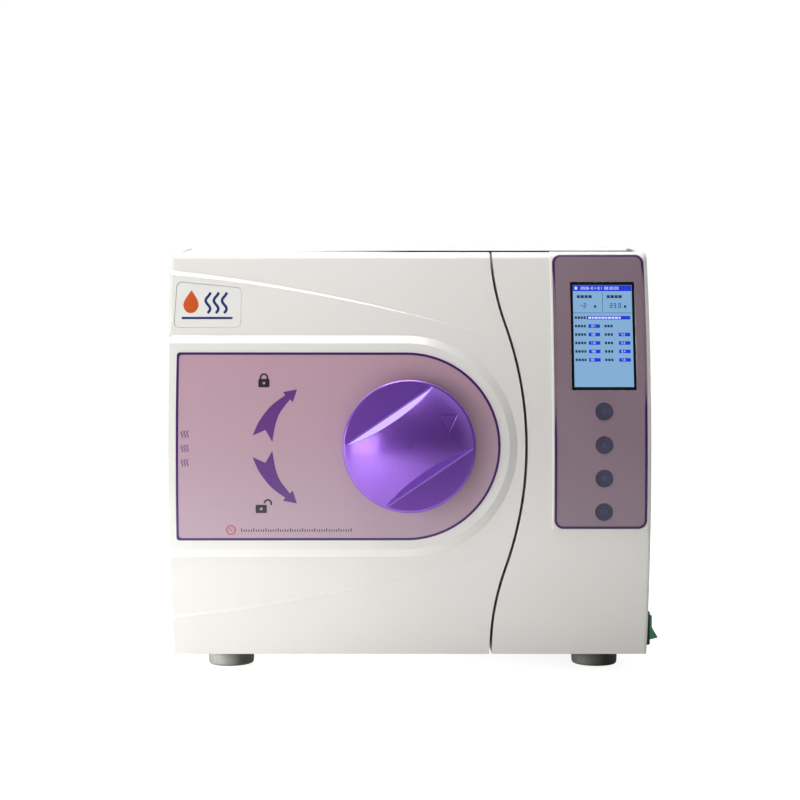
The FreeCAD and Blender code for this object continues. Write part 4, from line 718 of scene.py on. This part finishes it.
def display_layers():
    """The display's picture as named layers of rectangles, in millimetres about its middle."""
    edge, wide, line = -29.3, 58.6, 0.4
    header, heading, divider, split = 45.8, 47.4, 23.2, 25.0
    blue = [bar(edge, header, wide, 6.0)]
    pale = dashes(-27.5, heading, (2.4,), 2.8) + digits("2026-01-01 08:30:00", -21.5, heading, 2.8)
    text = [bar(-line / 2, split, line, 19.5), bar(edge, divider, wide, line)]
    for left, shown in ((-25.5, "-2"), (4.5, "23.0")):
        text += dashes(left, 38.6, (3.0, 3.4, 3.0, 3.4), 3.0)
        text += digits(shown, left + 3, 28.6, 4.6) + dashes(left + 17, 28.6, (2.2,), 2.6)
    first_row, pitch, field_wide, field_tall, field_drop = 17.2, 8.6, 11.5, 3.6, 0.5
    for row in range(6):
        low = first_row - pitch * row
        text += dashes(-28.0, low, (2.2, 2.4, 2.2, 2.0), 2.6)
        if row == 0:
            blue.append(bar(-16.0, low - field_drop, 43.5, field_tall))
            pale += dashes(-14.5, low + 0.3, (3, 2, 3, 2.4, 3, 2, 3, 2.6, 3, 2), 1.9)
            continue
        blue.append(bar(-14.5, low - field_drop, field_wide, field_tall))
        pale += digits(str(134 - 7 * row), -12.5, low + 0.2, 2.2)
        text += dashes(1.5, low, (2.2, 2.4, 2.2), 2.6)
        if row > 1:
            blue.append(bar(15.5, low - field_drop, field_wide, field_tall))
            pale += digits(f"{2 + row}.{row}", 18.0, low + 0.2, 2.2)
    return {"blue": blue, "text": text, "pale": pale}


def thin_plate(bm, spots, drop):
    """A four-sided plate whose front corners are the spots and whose back lies at drop from them."""
    fronts = [bm.verts.new(spot) for spot in spots]
    backs = [bm.verts.new(spot + drop) for spot in spots]
    bm.faces.new(fronts)
    bm.faces.new(backs[::-1])
    for i in range(4):
        after = (i + 1) % 4
        bm.faces.new((fronts[i], backs[i], backs[after], fronts[after]))


def display_picture():
    """The lit picture, in thin layers on the tilted panel."""
    panel = nodes["display_panel"].data
    front = max((p for p in panel.polygons if p.normal.y < -0.9), key=lambda p: p.area)
    normal = front.normal.copy()
    in_plane = 0.01 * MM
    face = [v.co for v in panel.vertices if abs((v.co - front.center).dot(normal)) < in_plane]
    middle = sum(face, Vector()) / len(face)
    across = Vector((1, 0, 0))
    up = normal.cross(across)
    up = up if up.z > 0 else -up
    thick, step = 0.04 * MM, 0.05 * MM
    looks = {"blue": ("display_blue", "1f38d2", 1.0), "text": ("display_text", "2b4672", 0.6),
             "pale": ("display_pale", "dbe8ff", 1.0)}
    for level, (layer, shapes) in enumerate(display_layers().items(), start=2):
        name, colour, strength = looks[layer]
        bm = bmesh.new()
        for shape in shapes:
            spots = [middle + across * x * MM + up * z * MM + normal * level * step for x, z in shape]
            thin_plate(bm, spots, -normal * thick)
        bmesh.ops.recalc_face_normals(bm, faces=bm.faces)
        object_from(name, bm, glow(name, colour, strength), "root")


# ---- stage ------------------------------------------------------------------------------------

def floor():
    """A plain pale floor, which throws light up at the front left like a bright table."""
    low_z = cad_box[0][2]
    bpy.ops.mesh.primitive_circle_add(vertices=96, radius=14, fill_type="NGON", location=(0, 0, low_z))
    ground = bpy.context.object
    ground.name = "floor"
    paint = Paint("floor_paper")
    cloud = paint.spread(paint.noise(0.7, 3), 0.3, 0.7, 0.0, 1.0)
    bright_spot = (-0.6, -0.7, 0.0)
    reach = paint.add("ShaderNodeVectorMath", {0: paint.place, 1: bright_spot}, operation="DISTANCE")
    bounce = paint.spread(reach.outputs["Value"], 0.1, 1.0, 1.6, 0.0)
    camera_ray = paint.add("ShaderNodeLightPath").outputs["Is Camera Ray"]
    seen = paint.spread(camera_ray, 0.0, 1.0, bounce, 0.85)
    skin = paint.bump(paint.noise(300, 2), 0.00005, 0.2)
    paper = paint.finish(Base_Color=paint.mix(cloud, rgb("b8b8b6"), rgb("bcbcba")), Roughness=0.7,
                         Normal=skin, Emission_Color=WHITE, Emission_Strength=seen)
    ground.data.materials.append(paper)


def light(name, place, target, size, power, linked=(), link="INCLUDE"):
    """A soft rectangular light aimed at a point, which may fall on some nodes only or pass them by."""
    lamp = bpy.data.lights.new(name, "AREA")
    lamp.shape = "RECTANGLE"
    lamp.size, lamp.size_y = size
    lamp.energy = power
    holder = bpy.data.objects.new(name, lamp)
    holder.location = place
    holder.rotation_euler = (Vector(target) - Vector(place)).to_track_quat("-Z", "Y").to_euler()
    holder.visible_camera = False
    if linked:
        group = bpy.data.collections.new(name + "_links")
        for node in linked:
            group.objects.link(nodes[node])
        for entry in group.collection_objects:
            entry.light_linking.link_state = link
        holder.light_linking.receiver_collection = group
    bpy.context.scene.collection.objects.link(holder)


def tent():
    """The world's brightness by direction: from ahead more on the left, from the sides and behind more on
    the right, more from above, and least from behind the camera, so that glossy fronts stay clear."""
    world = bpy.data.worlds.new("tent")
    world.use_nodes = True
    tree = world.node_tree
    split = tree.nodes.new("ShaderNodeSeparateXYZ")
    tree.links.new(tree.nodes.new("ShaderNodeTexCoord").outputs["Generated"], split.inputs["Vector"])

    def by(axis, low, high, to_low, to_high):
        """A value that goes from to_low to to_high as the direction goes from low to high along an axis."""
        node = tree.nodes.new("ShaderNodeMapRange")
        for key, given in zip(("From Min", "From Max", "To Min", "To Max"), (low, high, to_low, to_high)):
            node.inputs[key].default_value = given
        tree.links.new(split.outputs[axis], node.inputs["Value"])
        return node.outputs["Result"]

    def both(operation, first, second):
        """Two values added or multiplied."""
        node = tree.nodes.new("ShaderNodeMath")
        node.operation = operation
        tree.links.new(first, node.inputs[0])
        tree.links.new(second, node.inputs[1])
        return node.outputs["Value"]

    ahead = both("MULTIPLY", by("X", -1.0, 1.0, 1.4, 0.1), by("Y", -0.3, 0.05, 1.0, 0.0))
    aside = both("MULTIPLY", by("X", -1.0, 1.0, 0.7, 3.4), by("Y", -0.3, 0.05, 0.0, 1.0))
    lifted = both("MULTIPLY", by("Z", 0.0, 1.0, 0.24, 0.42), both("ADD", ahead, aside))
    level = both("MULTIPLY", lifted, by("Y", -1.0, -0.5, 0.12, 0.84))
    seen = tree.nodes.new("ShaderNodeMix")
    tree.links.new(tree.nodes.new("ShaderNodeLightPath").outputs["Is Camera Ray"], seen.inputs["Factor"])
    tree.links.new(level, seen.inputs["A"])
    seen.inputs["B"].default_value = 1.02
    back = tree.nodes["Background"]
    back.inputs["Color"].default_value = WHITE
    tree.links.new(seen.outputs["Result"], back.inputs["Strength"])
    bpy.context.scene.world = world


def lights():
    """A white light tent with soft boxes above, at the upper left and low on the left.

    The hood has a weaker light above of its own, and the feet have a small one at their side.
    """
    tent()
    above = {"place": (-0.2, -0.1, 1.9), "target": (0, -0.1, 0.3), "size": (2.2, 1.0)}
    light("key", place=(-1.5, -1.4, 1.9), target=(0, -0.2, 0.25), size=(1.2, 1.2), power=2)
    light("top", **above, power=41, linked=HOOD, link="EXCLUDE")
    light("hood_top", **above, power=22, linked=HOOD)
    light("low_left", place=(-1.3, -1.0, 0.3), target=(0, -0.25, 0.15), size=(1.1, 0.6), power=8)
    light("foot_side", place=(-0.5, -0.42, 0.05), target=(-0.2, -0.2, 0.01), size=(0.12, 0.06), power=8,
          linked=["feet"])


def camera():
    """A level camera straight in front of the machine, a little above its middle."""
    stand_off, height = 1.25, 0.243
    lens = bpy.data.cameras.new("camera")
    lens.sensor_width = 36
    lens.lens = 57.2
    lens.shift_x = -0.0118
    lens.shift_y = 0.0415
    holder = bpy.data.objects.new("camera", lens)
    front = min(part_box("door_cover")[0].y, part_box("control_column")[0].y)
    holder.location = (0, front - stand_off, height)
    holder.rotation_euler = (math.radians(90), 0, 0)
    bpy.context.scene.collection.objects.link(holder)
    bpy.context.scene.camera = holder


dress_all()
door_graphics()
column_graphics()
corner_plugs()
display_picture()
floor()
lights()
camera()
bpy.context.scene.view_settings.view_transform = "Standard"
